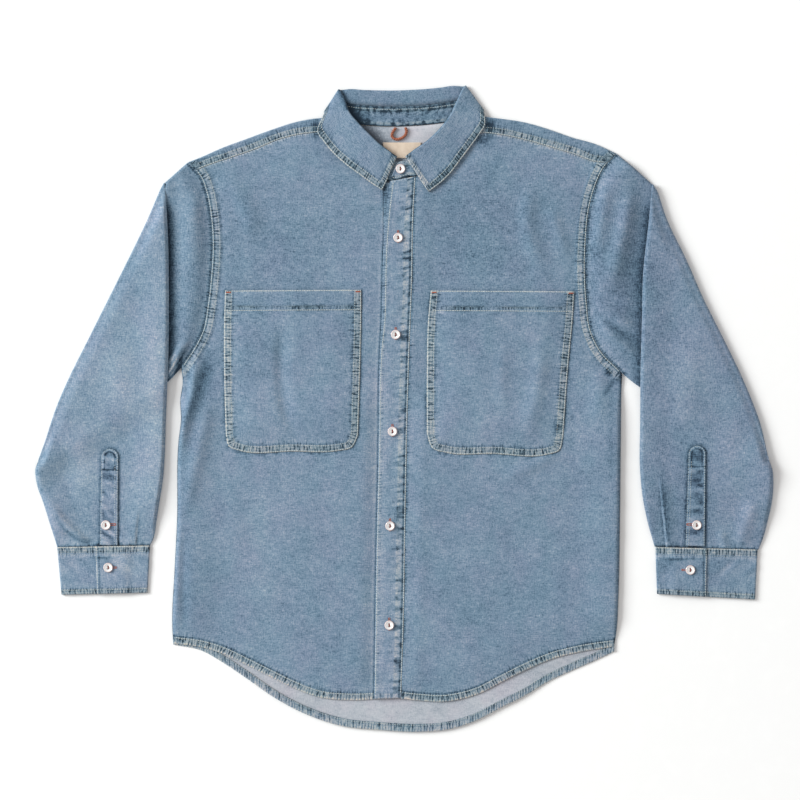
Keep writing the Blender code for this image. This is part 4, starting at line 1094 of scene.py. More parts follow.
def build_front(side):
    left, inward, seed = side == "left", INWARD[side], 40 + SEEDS[side]
    rows, columns = graded(700, 1.9, 5), graded(300, 1.9, 4.2)
    hole, side_seam, hem_line = armhole(side)[0], smooth(SIDE[side]), smooth(FRONT_HEM[side])
    outer = along(join(smooth(SIDE[side][::-1]), hole), rows) + (inward * SEAM, 0)
    top = shift(along(join(shoulder_seam(side), smooth(NECKLINE[side])), columns), -inward * SEAM)
    top[0] = outer[-1]
    hem = along(hem_line, columns)
    inner = along(smooth(BAND_EDGE[side][::-1]), fractions_of(outer)) - (inward * SEAM, 0)
    inner[0], outer[0], top[-1] = hem[-1], hem[0], inner[-1]
    grid = patch(hem, top, outer, inner)
    marks = Marks(grid)
    marks.line(hole, seed, 10.5, rise=0.8, rows=(1.2, 9.2), strength=0.75, lip=0)
    marks.line(side_seam, seed + 2, 6, pucker=0.4, strength=0.08, lip=0)
    marks.line(shoulder_seam(side), seed + 3, 3, pucker=0.25, strength=0.5)
    marks.line(hem_line, seed + 4, HEM - 1.5, rise=0.35, rows=(6.8,), strength=1.2, lip=0.5)
    # painted shadow on the front round the pocket's edge
    marks.tone(marks.off(along(sewn_edge(side), 80)), (-0.30, 0.2, 1.4))
    from_hole, from_hem, from_side = (marks.off(along(line, count))
                                      for line, count in ((hole, 80), (hem_line, 80), (side_seam, 60)))
    marks.tone(from_hole, (-0.32, 2.9, 0.9), (-0.3, 0, 0.8))
    marks.tone(from_hem, (-0.2, 8.6, 0.9))
    marks.fade -= 0.10 * window(from_hem, 1.6, 6.0)
    beside = marks.off(smooth(TOP_BAND_SEWN if left else FREE_EDGE, 60))
    if left:
        marks.line(smooth(TOP_BAND_SEWN), seed + 5, 3, pucker=0.3, strength=0.3, lip=0, tail=0.5)
        marks.fade += 0.08 * window(from_hole, 1.8, 8.8)
        # painted shadow on the front beside the buttonhole band's sewn edge
        marks.fade -= 0.55 * mark(beside, 0.7, 1.1) * (0.75 + 0.5 * marks.cloud(30, 6))
    else:
        # painted highlight on the front a little way from the buttonhole band's free edge, and painted shadow
        # in the gap right at that edge
        marks.rub(0.3 * mark(beside, 3.4, 1.8))
        marks.tone(beside, (-0.4, 0.4, 1.3))
    marks.shade(SHADES[f"front_{side}"])
    below_armpit = ease((60 - marks.y) / 20)
    # painted shade along the side edge below the armpit, where the front rolls down to the seam; wider on the
    # left front, which turns away from the lamp
    marks.fade -= 0.35 * mark(from_side, 0.4, 1.6 if left else 0.8) * below_armpit
    roll = 0.75 * (1 - ease(from_side / 2.5)) * below_armpit
    main = raised(grid, front_surface(marks.x, marks.y, side) + marks.z - roll)
    hidden = turned_edge(main[:, 0], main[:, 1], 0.42, 6, -1)
    values = {key: np.concatenate([np.repeat(v[:, :1], hidden.shape[1], 1), v], 1)
              for key, v in marks.values().items()}
    cloth(f"front_{side}", "panel", [np.concatenate([hidden, main], 1)], [values])


def free_row(y):
    """How far from its free edge the buttonhole band is stitched; it drifts towards the edge lower down."""
    return np.interp(y, (-120, 30, 80, 110), (1.5, 1.9, 2.6, 4.4))


def build_band(node, outer, inner, height, top, seed):
    """A pressed, doubled band, with the puckers and grooves of a seam along each edge."""
    columns, rows = np.linspace(0, 1, 25)[:, None], np.linspace(0, 1, 360)
    edge_a, edge_b = along(smooth(outer), rows), along(smooth(inner), rows)
    edge_a[0, 1], edge_b[0, 1] = top
    grid = edge_a * (1 - columns[..., None]) + edge_b * columns[..., None]
    run = np.repeat(lengths(edge_a)[None], len(columns), 0)
    from_a, from_b = columns * BAND_WIDTH + 0 * run, (1 - columns) * BAND_WIDTH + 0 * run
    marks = Marks(grid)
    marks.seam(from_a, run, seed, 4.5, pucker=0.32, strength=0.4, lip=0)
    marks.seam(from_b, run, seed + 1, 9, rows=(0.8,), pucker=0.35, strength=0.6, lip=0.2, tail=0.5,
               bars=(3.0, 1.3))
    marks.deepen(0.75 * mark(from_a, 0, 0.9))
    marks.deepen(0.35 * mark(from_a, free_row(marks.y) + 1.8, 0.9))
    marks.tone(from_b, (-0.35, 2.4, 0.9))
    marks.fade += 0.06 * ease((14 - from_a) / 8) - 0.12 * window(from_a, 0.4, free_row(marks.y) - 0.6, 0.8)
    marks.seam(run, from_a, seed + 2, 4, pucker=0, strength=0.5, tail=0)
    marks.seam(run[:, -1:] - run, from_a, seed + 3, 7, rows=(6,), pucker=0, strength=0.6)
    marks.z += 0.25 * marks.cloud(20, seed) + 0.18 * marks.cloud(9, seed + 4)
    rounded = 0.35 * (mark(from_a, 0, 1.2) + mark(from_b, 0, 1.2))
    cloth(node, "band", [raised(grid, height + marks.z - rounded)], [marks.values()], BAND, (DENIM,))


def build_pocket(side):
    seed = 60 + SEEDS[side]
    across, rows = graded(185, 1.5, 4, 11), graded(200, 1.6, 4, 11)
    start, end = pocket_corners(side)
    bottom = along(smooth(POCKET[side]["bottom"]), across)
    left, right = (along(smooth(POCKET[side][part][::-1]), rows) for part in ("outer", "inner"))
    grid = patch(bottom, start + (end - start) * across[:, None], left, right)
    marks = Marks(grid)
    x, y = marks.x, marks.y
    d, run, _ = nearest(x, y, along(sewn_edge(side), 160))
    marks.seam(d, run, seed, 9, rise=0.35, rows=(1.1, 8.2), strength=1.2, pucker=0.3, bars=(1.15, 1.0))
    marks.fade -= 0.05 * window(d, 1.6, 7.8)
    marks.line(straight(start, end, 30), seed + 1, 1, pucker=0.2, strength=0.4, lip=0.7)
    above = y - start[1] + POCKET_HEM
    puckers = window(above, 1.2, 6.5, 2) * (0.85 + 0.4 * sway(x, 22, seed + 6)) * ease(d / 12)
    marks.pucker(puckers, x + 40, above)
    marks.deepen(0.55 * puckers)
    marks.rub(0.4 * mark(above, -1.2, 1.2))
    marks.fade -= 0.3 * puckers * np.clip(sway(x + 0.6 * above, 5.5, seed + 9), 0, 1)
    marks.z += 0.4 * ease((above + 0.5) / 1.2) - 0.3 * mark(above, 0, 0.9)
    marks.z += 0.3 * sway(x, 5, seed + 7) * window(above, 0, 9, 4)
    marks.deepen(0.3 * mark(above, -4.5, 1.8) * (0.5 + sway(x, 14, seed + 8)))
    marks.fold(POCKET_FOLDS[side])
    swell = POCKET_SWELL * ease(d / 40) ** 0.8 + 0.3 * ease(d / 14) * (1 + marks.cloud(34, seed))
    z = front_surface(x, y, side) + PLY + 0.25 + swell + marks.z - 0.3 * mark(d, 0, 1.0)
    cloth(f"pocket_{side}", "panel", [raised(grid, z)], [marks.values()])


# ---- the neck
def crease_stations(points, side):
    """Stations round the side of the neck, where the flattened collar turns from front to back.

    The neck seam, stand seam and inside of the roll turn at one radius and height, the roll's outside and the
    edge at their own.
    """
    neck, stand, roll, edge = np.array(points, float)
    line = unit(roll - edge)
    outward = np.array([-line[1], line[0]]) * INWARD[side]
    inner, outer, low = (1.1, 3.8), (2.7, 3.5), (0.9, 3.6)
    turns = ((neck, inner), (stand, inner), (roll, inner), (roll, outer), (edge, low))
    return [[[*(point + outward * radius * np.sin(a)), z + radius * np.cos(a)]
             for point, (radius, z) in turns] for a in np.radians(CREASE_ANGLES)[::INWARD[side]]]


def neck_lines():
    """The neck seam, stand seam, inside of the roll, outside of it and collar edge, as finely spaced lines.

    The lines of the stand run on past both ends of the collar. Returns the stand's two and the collar's five.
    """
    def leaf(rows):
        for number, (neck, stand, roll, edge, z) in enumerate(rows):
            lift = ROLL_LIFT * np.sin(np.pi * (number / (len(rows) - 1) + 0.12) / 1.24)
            yield [[*neck, z[0]], [*stand, z[1]], [*roll, z[2] + lift], [*roll, z[3] + lift],
                   [*edge, z[4] + 0.4 * lift]]

    behind = [[[*neck, BACK_NECK_Z], [*stand, BACK_NECK_Z], [*roll, BACK_ROLL_Z], [*roll, UNDER_ROLL_Z],
               [*edge, UNDER_COLLAR_Z]] for neck, stand, roll, edge in BACK_OF_NECK]
    collar = np.array([*leaf(RIGHT_LEAF), *crease_stations(RIGHT_CREASE, "right"), *behind,
                       *crease_stations(LEFT_CREASE, "left"), *leaf(LEFT_LEAF)])
    ends = [np.array([[[*n, z[0]], [*s, z[1]]] for n, s, z in rows]) for rows in (STAND_START, STAND_END)]
    return fine_stations(np.concatenate([ends[0], collar[:, :2], ends[1]])), fine_stations(collar)


def fine_stations(stations):
    """Stations [n][line][xyz] joined by smooth curves and cut at an even spacing."""
    steps = np.linalg.norm(np.diff(stations, axis=0), axis=2)
    t = np.concatenate([[0], np.cumsum(np.maximum(steps.mean(1), 0.3))])
    places = [np.linspace(a, b, max(1, int(np.ceil(s / STATION_STEP))), endpoint=False)
              for a, b, s in zip(t[:-1], t[1:], steps.max(1))]
    places = np.concatenate(places + [t[-1:]])
    flat = steady(t, stations.reshape(len(stations), -1), places)
    return flat.reshape(len(places), *stations.shape[1:])


def lifted(points, height):
    """A grid of points moved along its normals, which point up where the sheet lies face up."""
    normal = np.cross(np.gradient(points, axis=0), np.gradient(points, axis=1))
    normal /= np.maximum(np.linalg.norm(normal, axis=-1, keepdims=True), 1e-9)
    return points + normal * height[..., None]


def right_roll_shade(points, reach):
    """How far the back of the neck lies in the shade of the collar's right leaf, from 0 to 1."""
    roll = smooth([row[2] for row in RIGHT_LEAF] + [RIGHT_CREASE[2]], 40)
    return mark(off(points[..., 0], points[..., 1], roll), 0, reach)


def build_stand():
    lines = neck_lines()[0]
    steps = np.linspace(0, 1, 21)[:, None]
    neck, seam = lines[:, 0], lines[:, 1]
    up = unit(seam - neck)
    low, high = neck + up * GAP, seam - up * GAP
    points = low[:, None] * (1 - steps) + high[:, None] * steps
    run = np.repeat(lengths(seam)[:, None], len(steps), 1)
    depth = np.linalg.norm(points - low[:, None], axis=2)
    from_top = np.linalg.norm(high - low, axis=1)[:, None] - depth
    marks = Marks(points)
    for across, seed, width, tail in ((depth, 81, 5, 0.6), (from_top, 82, 7, 0.8)):
        marks.seam(across, run, seed, width, pucker=0.2, strength=0.7, lip=0, tail=tail, bars=(2.6, 0.5))
    marks.tone(depth, (-0.5, 0.4, 1.1))
    marks.deepen(0.3)
    behind = marks.y > STAND_BEHIND
    marks.fade -= 0.55 * behind * right_roll_shade(points, 10)
    marks.fade -= behind * (0.07 + 0.45 * mark(from_top, 1.6, 1.2) + 0.45 * mark(from_top, 5.9, 1.1))
    cloth("collar_stand", "band", [points], [marks.values()], BAND, (DENIM,), [np.stack([run, depth], -1)])


def build_collar():
    _, seam, roll_in, roll_out, edge = np.moveaxis(neck_lines()[1], 1, 0)
    reach = np.linalg.norm(roll_in - seam, axis=1)[:, None]
    up = (roll_in - seam) / reach
    start = seam + up * GAP
    centre, radius = (roll_in + roll_out) / 2, (roll_out - roll_in) / 2
    size = np.linalg.norm(radius, axis=1)[:, None]
    bulge = up * size
    back_off = np.minimum(1.0, 0.5 * reach / size) * bulge
    turn = [centre - back_off - radius * np.cos(a) + bulge * np.sin(a) for a in np.linspace(0, np.pi, 13)]
    rows = [start + (turn[0] - start) * s for s in (0, 0.35, 0.7)] + turn
    rows += [turn[-1] + (edge - turn[-1]) * s for s in graded(46, 1.3, 2.4, 10)[1:]]
    points = np.stack(rows, 1)
    down_it = np.cumsum(np.linalg.norm(np.diff(points, axis=1), axis=2), 1)
    along_it = np.cumsum(np.linalg.norm(np.diff(points, axis=0), axis=2), 0)
    depth = np.concatenate([np.zeros((len(points), 1)), down_it], 1)
    beside = np.concatenate([np.zeros((1, points.shape[1])), along_it])
    from_edge = depth[:, -1:] - depth
    edge_run = np.repeat(lengths(edge)[:, None], points.shape[1], 1)
    marks = Marks(points)
    marks.seam(from_edge, edge_run, 83, 8.5, rise=0.3, rows=(1.0, 8.0), pucker=0.25, strength=1.3, tail=0.2)
    for from_end, seed in ((beside, 84), (beside[-1:] - beside, 85)):
        marks.seam(from_end, depth, seed, 6, rise=0.3, rows=(1.0, 5.5), pucker=0.2, tail=0.2)
    marks.fade -= np.where(marks.x > 0, 0.31, 0.14) * window(from_edge, 1.8, 7.5)
    turned_in = 1 - ease((depth - depth[:, 9:10]) / 2)
    behind = marks.y > ROLL_BEHIND
    # painted shade: darker on the inside of each leaf's roll in front, and behind the neck, most in the shade
    # of the right leaf
    marks.fade += 0.01 - 0.4 * turned_in * ~behind - behind * (0.05 + 0.35 * right_roll_shade(points, 4))
    marks.seam(depth, edge_run, 86, 2, pucker=0.15, strength=0.2, lip=0, tail=0)
    sign = -1 if np.cross(points[1, -1] - points[0, -1], points[0, -1] - points[0, -2])[2] < 0 else 1
    cloth("collar", "fall", [lifted(points, sign * marks.z)], [marks.values()], BAND, (DENIM,),
          [np.stack([edge_run, depth], -1)])


# ---- sleeves and cuffs
TOP_LAYER_Z = 2 * SLEEVE_TURN_Z - BACK_Z
TUBE_TURNS = np.radians((25, 50, 75, 105, 130, 155))


def fall_to_table(points, side):
    """How far the folded part of a sleeve comes down once it is past the underarm edge beneath it."""
    start, end = np.array(SLEEVE[side]["underarm"], float)[[0, -1]]
    line = unit(end - start)
    down = np.array([line[1], -line[0]])
    down *= -np.sign(down[1])
    crease = off(points[..., 0], points[..., 1], smooth(SLEEVE[side]["crease"], 40))
    settle = 1.2 * ease(crease / 40)
    fall = TOP_LAYER_Z - FRONT_Z
    return settle + (fall - settle) * ease(((points - start) @ down - 3) / 36)


def sleeve_waves(x, y, seed):
    return 0.35 * cloud(x, y, 40, seed) + 0.15 * cloud(x, y, 15, seed + 1)


def sleeve_top(points, side):
    """The middle of the sleeve's uppermost layer, below the fold."""
    x, y, shape = points[..., 0], points[..., 1], SLEEVE[side]
    cuff = off(x, y, np.array([shape["outer"][-1], shape["inner"][-1]], float))
    crease, inner, outer = (off(x, y, smooth(shape[part], count))
                            for part, count in (("crease", 40), ("inner", 50), ("outer", 30)))
    soft = (0.5 + sleeve_waves(x, y, 90)) * ease(crease / 25) * ease(cuff / 20)
    roll = edge_roll(inner, *INNER_ROLL[side], 45) * ease(cuff / 60) * ease(crease / 14)
    roll = np.maximum(roll, edge_roll(outer, 5.0, 6, 40) * ease(cuff / 60) * ease(crease / 10))
    flat = TOP_LAYER_Z - fall_to_table(points, side)
    return flat + soft + roll + folds(x, y, SLEEVE_FOLDS[side]) * ease(crease / 6)


def cap_relief(cap, side, hole, crease):
    """The marks of the part above the fold, and how high it swells."""
    right, seed, swell, slope = side == "right", 100 + SEEDS[side], *CAP_RISE[side]
    marks = Marks(cap)
    marks.line(hole, seed, 0, pucker=0.35, strength=0.5, tail=0.8)
    marks.fold(CAP_FOLDS[side])
    marks.shade(SHADES[f"cap_{side}"])
    from_crease, from_hole = marks.off(crease), marks.off(hole)
    from_fold = marks.off(smooth(SLEEVE[side]["inner"], 60))
    pillow = swell * ease(from_hole / 22) * ease(from_fold / slope)
    top = np.hypot(marks.x - crease[-1, 0], marks.y - crease[-1, 1])
    corner = 5.4 * np.exp(-((from_fold / 14) ** 2 + (top / 32) ** 2))
    below_top = ease((crease[-1, 1] - marks.y - 14) / 26)
    # painted shade on the cap beside the sleeve's fold, from a little below its top; stronger on the right
    # sleeve, whose fold stands between the cap and the lamp
    marks.deepen(0.8 * (1 - ease(from_fold / 15)) * below_top)
    marks.tone(from_hole, (-0.4, 1.2, 1.5))
    marks.fade -= (0.45 if right else 0.12) * (1 - ease(from_fold / 7)) * below_top
    soft = (0.4 + sleeve_waves(marks.x, marks.y, seed)) * ease(from_hole / 20)
    rise = (marks.z + pillow + soft) * ease(from_crease / 8) + corner * ease(from_crease / 4) * right
    return marks, np.maximum(rise, -0.6)


def lower_relief(lower, side, cuff, crease):
    """The marks of the part below the fold, and how high it stands above a flat layer."""
    marks = Marks(lower)
    marks.line(cuff, 102 + SEEDS[side], 0, pucker=0.45, strength=0.3, lip=0, tail=1.0, bars=(2.0, 1.0))
    marks.shade(SHADES[f"sleeve_{side}"])
    # painted shadow on the sleeve just above the cuff
    marks.tone(marks.off(cuff), (-0.35, 0.4, 1.6))
    marks.rub(0.10 * np.clip(folds(marks.x, marks.y, SLEEVE_FOLDS[side]), 0, 2))
    off_pleat, down_pleat, flank = nearest(marks.x, marks.y, smooth(PLEAT[side], 30))
    off_pleat = off_pleat * flank * INWARD[side]
    fades_in = ease(down_pleat / 25)
    marks.rub(0.55 * mark(off_pleat, 0, 1.0) * fades_in)
    # painted shadow beside the pleat, at the foot of its step
    marks.deepen(0.5 * mark(off_pleat, 2.2, 1.5) * fades_in)
    marks.z += 1.3 * (1 - ease(-off_pleat / 16)) * (off_pleat < 0.4) * fades_in
    # painted shadow on the sleeve round the placket strip
    marks.deepen(0.75 * mark(marks.off(placket_outline(side)), 0, 2.6))
    settled = TOP_LAYER_Z - fall_to_table(lower, side)
    return marks, sleeve_top(lower, side) - settled + marks.z * ease(marks.off(crease) / 8)


def build_sleeve(side):
    shape = SLEEVE[side]
    out = np.array([-INWARD[side], 0.0])
    across = np.concatenate([graded(285, 2.8, 4.4)] + [np.linspace(*dense) for dense in DENSE_SLEEVE])
    across = np.unique(np.round(across, 3))
    across = across[np.concatenate([[True], np.diff(across) > 0.0035])]
    across[-1] = 1.0
    steps, far, count = graded(150, 1.6, 6, 9), graded(330, 3, 4.4), len(across)
    hole = along(join(*armhole(side)), across) + out * SEAM
    crease = along(smooth(shape["crease"]), across)
    cuff = straight(shape["outer"][-1], shape["inner"][-1], across) + (0, SEAM)
    cap = patch(hole, crease, along(smooth(shape["underarm"]), steps), along(smooth(shape["top"]), steps))
    lower = patch(crease, cuff, along(smooth(shape["outer"]), far), along(smooth(shape["inner"]), far))
    cap_marks, cap_rise = cap_relief(cap, side, hole, crease)
    low_marks, low_rise = lower_relief(lower, side, cuff, crease)
    outward = shift(crease, 1.0) - crease
    outward *= np.sign(outward @ out)[:, None]
    from_elbow = across * lengths(crease)[-1]
    middle = ease(from_elbow / 60) * ease((from_elbow[-1] - from_elbow + 5) / 18)
    outward *= (0.15 + (0.35 if side == "right" else 0.85) * middle)[:, None]
    mean, half = SLEEVE_TURN_Z - (FRONT_Z + BACK_Z) / 2, (FRONT_Z - BACK_Z) / 2

    def around(back, front):
        """Values round the tube: back layer, the turn at the top, front layer and the turn beneath."""
        return np.concatenate([back, [back[-1]] * len(TUBE_TURNS), front[::-1], [front[0]] * len(TUBE_TURNS)])

    def ring(base, angle, front, back, fall):
        reach = half * np.sin(TUBE_TURNS)[:, None]
        end = base[-1] + unit(base[-1] - base[-2]) * reach
        begin = base[0] + unit(base[0] - base[1]) * reach
        turned = half * np.cos(TUBE_TURNS)
        radius = mean + np.concatenate([np.full(count, half), turned, np.full(count, -half), -turned])
        moved = around(outward, outward) * (radius * np.sin(angle))[:, None]
        xy = np.concatenate([base, end, base[::-1], begin]) + moved
        z = SLEEVE_TURN_Z - radius * np.cos(angle) + around(back, front) - around(fall, fall)
        return np.column_stack([xy, z])

    nothing, fall = np.zeros(count), fall_to_table(lower, side)
    rings = [ring(cap[:, k], 0.0, cap_rise[:, k], nothing, nothing) for k in range(len(steps))]
    rings += [ring(crease, a, nothing, nothing, nothing) for a in np.linspace(0, np.pi, 9)[1:-1]]
    rings += [ring(lower[:, k], np.pi, 0.35 * low_rise[:, k], low_rise[:, k], fall[:, k])
              for k in range(len(far))]
    points, front_from = np.array(rings), count + len(TUBE_TURNS)
    cap_values, low_values = cap_marks.values(), low_marks.values()
    values = {key: np.full(points.shape[:2], NO_SEAM if key == "edge" else 0.0) for key in MARKS}
    for key, table in values.items():
        table[:len(steps), front_from:front_from + count] = cap_values[key].T[:, ::-1]
        table[-len(far):, :count] = low_values[key].T
    cloth(f"sleeve_{side}", "tube", [points], [values], PLY, (SLEEVE_DENIM[side], INSIDE), closed=True)


def build_cuff(side):
    """A band wound round from the button end, beneath, to the buttonhole end on top."""
    seed, edge = 120 + SEEDS[side], CUFF[side]["free_edge"]
    low, mid, high = BAND / 2, 3.1, 5.0      # middle of the layer beneath, of the one on top and of the lap
    turn = 1.15                              # radius of the folded ends
    under_end = edge + 0.27
    angles = np.radians((15, 30, 50, 70, 90, 110, 130, 150, 165))
    path = [(under_end, mid, 0), (edge, mid, 0), (0.15, mid, 0), (0, mid, 0)]
    path += [(0, low + turn + turn * np.cos(a), -turn * np.sin(a)) for a in angles]
    path += [(0, low, 0), (0.33, low, 0), (0.67, low, 0), (1, low, 0)]
    path += [(1, low + turn - turn * np.cos(a), turn * np.sin(a)) for a in angles]
    path += [(1, mid, 0), (under_end + 0.17, mid + 0.2, 0), (under_end + 0.03, high, 0), (edge, high, 0)]
    steps = graded(CUFF_DEPTH, 1.3, 2.2, 10)
    rows = []
    for v in steps:
        left, right = cuff_ends(side, v)
        across = unit(right - left)
        start, end = left + across * (turn + low), right - across * (turn + low)
        rows.append([[*(start + (end - start) * f + across * beyond), z] for f, z, beyond in path])
    rows = np.array(rows)
    rows[0, :, 1] -= SEAM
    t = lengths(rows[len(steps) // 2])
    places = np.concatenate([np.linspace(a, b, max(1, int(np.ceil((b - a) / 1.9))), endpoint=False)
                             for a, b in zip(t[:-1], t[1:])] + [t[-1:]])
    points = np.array([steady(t, row, places) for row in rows]).transpose(1, 0, 2)
    run = np.repeat(places[:, None], len(steps), 1)
    depth = np.repeat(CUFF_DEPTH * steps[None], len(places), 0)
    from_hem, from_end = CUFF_DEPTH - depth, places[-1] - run
    marks = Marks(points)
    marks.seam(depth, run, seed, 8, rows=(1.5, 8), pucker=0.45, strength=1.3, lip=0.5)
    marks.seam(from_hem, run, seed + 1, 7, rows=(5.5,), pucker=0.4, strength=1.1, lip=0)
    marks.seam(from_end, depth, seed + 2, 4, rows=(1.6,), pucker=0.25, strength=0.3, lip=0.6)
    marks.tone(depth, (0.10, 11, 1.6))
    marks.tone(from_end, (-0.3, 3.2, 1.0))
    marks.fade -= (0.12 if side == "right" else 0.03) * window(depth, 1.8, 8.5)
    # painted shadow in a wavy line below the upper rows
    dent_shadow = mark(depth, 14.6 + 1.2 * sway(run, 30, seed + 5), 1.5)
    marks.fade -= 0.26 * dent_shadow * (0.7 + sway(run, 24, seed + 6))
    marks.fade -= 0.12 * window(from_hem, -1, 5.5)
    creases = cloud(run + 0.9 * depth, 0.35 * depth, 8, seed + 7) * window(depth, 10, 36, 9)
    marks.z += 0.2 * cloud(run, depth, 16, seed) + 0.4 * creases
    marks.fade -= 0.12 * creases
    sign = 1 if np.cross(points[1, 0] - points[0, 0], points[0, 1] - points[0, 0])[2] > 0 else -1
    on_top = points[..., 2] > 2.5
    cloth(f"cuff_{side}", "band", [lifted(points, sign * marks.z * on_top)], [marks.values()], BAND, (DENIM,),
          [np.stack([depth, run], -1)])


def build_sleeve_placket(side):
    seed = 140 + SEEDS[side]
    tip, down, sideways, rows = placket_rows(side)
    across = graded(20, 1.1, 1.8, 5) * 2 - 1
    grid = tip + down * rows[:, :1, None] + sideways * (rows[:, 1:, None] * across[None, :, None])
    outline = join(grid[::-1, 0], grid[:, -1])
    marks = Marks(grid)
    marks.line(outline, seed, 3.6, rise=0.2, rows=(1.4,), strength=0.35, pucker=0.3, lip=0, tail=0.2)
    along_it, across_it = (grid - tip) @ down, (grid - tip) @ sideways
    slant = 0.6 if side == "right" else 0.1
    wrinkles = cloud(along_it - slant * across_it, 0.35 * across_it + 0.25 * along_it, 5.5, seed + 2)
    from_outline = marks.off(outline)
    inside = ease((from_outline - 1.6) / 2.5) * (1 - 0.25 * ease(along_it / 90 - 0.2))
    marks.z += 0.9 * wrinkles * inside
    marks.deepen(inside * (0.25 + 1.5 * np.clip(-wrinkles, 0, 1)))
    marks.rub(0.8 * inside * np.clip(wrinkles, 0, 1))
    box_side = mark(from_outline, 4.4, 0.8) * (along_it < BOX_LENGTH) + mark(along_it, BOX_LENGTH, 0.9)
    marks.fade -= 0.7 * box_side * (0.7 + 0.4 * marks.cloud(5, seed + 3))
    # painted shade along the strip's edges
    marks.tone(from_outline, (-0.4, 0, 0.9))
    z = sleeve_top(grid, side) + (PLY + STRIP) / 2 + GAP + marks.z
    cloth(f"sleeve_placket_{side}", "strip", [raised(grid, z)], [marks.values()], STRIP, (DENIM,))


# ---- stitches
BOLD, FINE = 0.95, 0.5      # widths of the two threads
SPOKES = ((1, 2), (2, 3), (3, 4), (4, 1))
STITCH_FACES = ([[0, a, b] for a, b in SPOKES] + [[a, a + 4, b + 4, b] for a, b in SPOKES]
                + [[9, b + 4, a + 4] for a, b in SPOKES])


def add_mesh(name, parts, material, slot, *nodes):
    """A smooth-shaded piece from several lists of points and faces in the pattern frame."""
    points, faces = [], []
    for some_points, some_faces in parts:
        faces += [[len(points) + k for k in face] for face in some_faces]
        points += list(some_points)
    finish_piece(placed(name, new_mesh(name, points + OFFSET, faces, material)), slot, *nodes)


def stitch_shape(start, end, normal, width):
    """One raised stitch: a bead with four sides, whose ends dip into the cloth, less if it is bold."""
    dip = 0.02 if width >= BOLD else 0.25
    beside = np.cross(normal, unit(end - start)) * width / 2
    points = [start - normal * dip]
    for place in (0.22, 0.78):
        centre = start + (end - start) * place
        points += [centre + beside, centre + normal * 0.26, centre - beside, centre - normal * 0.1]
    return points + [end - normal * dip]


def add_stitches(name, segments, names, material):
    """Stitches, each a start, an end and a width, set on the pieces beneath them."""
    surface, stitches = Surface(names), []
    for start, end, width in segments:
        ends = surface.hit(*start), surface.hit(*end)
        if None in ends:
            continue
        (a, normal_a), (b, normal_b) = ends
        if abs(a[2] - b[2]) <= HIGHEST_STEP:
            stitches.append((stitch_shape(a, b, unit(normal_a + normal_b), width), STITCH_FACES))
    add_mesh(name, stitches, material, "denim")


def row_of_stitches(route, width=0.6, pitch=3.0):
    """The stitches along a route; the wide ones nearly touch."""
    fill = 1.0 if width >= BOLD else 0.84
    count = max(1, int(lengths(route)[-1] / pitch))
    places = np.arange(count) / count
    starts, ends = (along(route, places + (1 + half * fill) / 2 / count) for half in (-1, 1))
    return zip(starts, ends, np.full(count, width))


def bartack(centre, ahead, length, width):
    """Close stitches side by side, across a short line."""
    beside = np.array([-ahead[1], ahead[0]]) * width / 2
    places = [centre + ahead * p for p in np.linspace(-length / 2, length / 2, max(2, int(length / 0.5)))]
    return [(place - beside, place + beside, 0.7) for place in places]


def buttonhole(centre, ahead, length, width):
    """Close stitches all round a slit."""
    beside = np.array([-ahead[1], ahead[0]])
    segments = []
    for p in np.linspace(-length / 2, length / 2, int(length / 0.55)):
        place = centre + ahead * p
        segments += [(place + beside * s * 0.25, place + beside * s * width / 2, 0.7) for s in (-1, 1)]
    for end in (-1, 1):
        segments += bartack(centre + ahead * end * length / 2, ahead, 1.4, width)
    return segments


def body_routes():
    """The routes and widths of the cream topstitching of the body; the outer row is the bolder one."""
    routes = []
    for side in SIDES:
        inward = INWARD[side]
        lower, strip = armhole(side)[0][6:], shoulder_seam(side)
        routes += [(along(shift(lower, -inward * inset), 90), width)
                   for inset, width in ((1.2, BOLD), (9.2, FINE))]
        routes += [(shift(strip, inward * inset)[3:], width) for inset, width in ((1.2, BOLD), (7.5, FINE))]
        routes.append((shift(smooth(FRONT_HEM[side]), inward * 6.8)[2:-2], BOLD))
        sewn = along(sewn_edge(side), 260)
        routes += [(shift(sewn, inward * inset), width) for inset, width in ((0.9, BOLD), (8.2, FINE))]
        across = straight(*pocket_corners(side), np.linspace(0.01, 0.99, 40))
        routes += [(across - (0, inset), BOLD) for inset in (1.0, POCKET_HEM)]
    free = smooth(FREE_EDGE)
    free[:, 0] += free_row(free[:, 1])
    return routes + [(free[:-2], BOLD), (shift(smooth(TOP_BAND_SEWN), -0.9)[:-2], BOLD),
                     (shift(smooth(BACK_HEM), 7.4)[3:-3], FINE)]


def cuff_routes():
    routes = []
    for side in SIDES:
        for depth, width in ((0.9, BOLD), (9.8, 0.4), (56.2, 0.5)):
            left, right = cuff_ends(side, depth / CUFF_DEPTH)
            routes.append((straight(left + (right - left) * 0.02, left + (right - left) * 0.98, 40), width))
        edge = CUFF[side]["free_edge"]
        (outer, inner), (outer_foot, inner_foot) = cuff_ends(side, 0), cuff_ends(side, 1)
        top, foot = outer + (inner - outer) * edge, outer_foot + (inner_foot - outer_foot) * edge
        toward, down = unit(inner - outer), unit(foot - top)
        corner = [top + toward * u + down * v for u, v in FREE_END_ROW]
        inner_row = placket_edge(side, INWARD[side], 4.4)[placket_rows(side, 4.4)[3][:, 0] > BOX_LENGTH - 8]
        routes += [(smooth(corner, 60), 0.8), (placket_outline(side, 1.3), 0.55), (inner_row, 0.5)]
    return routes


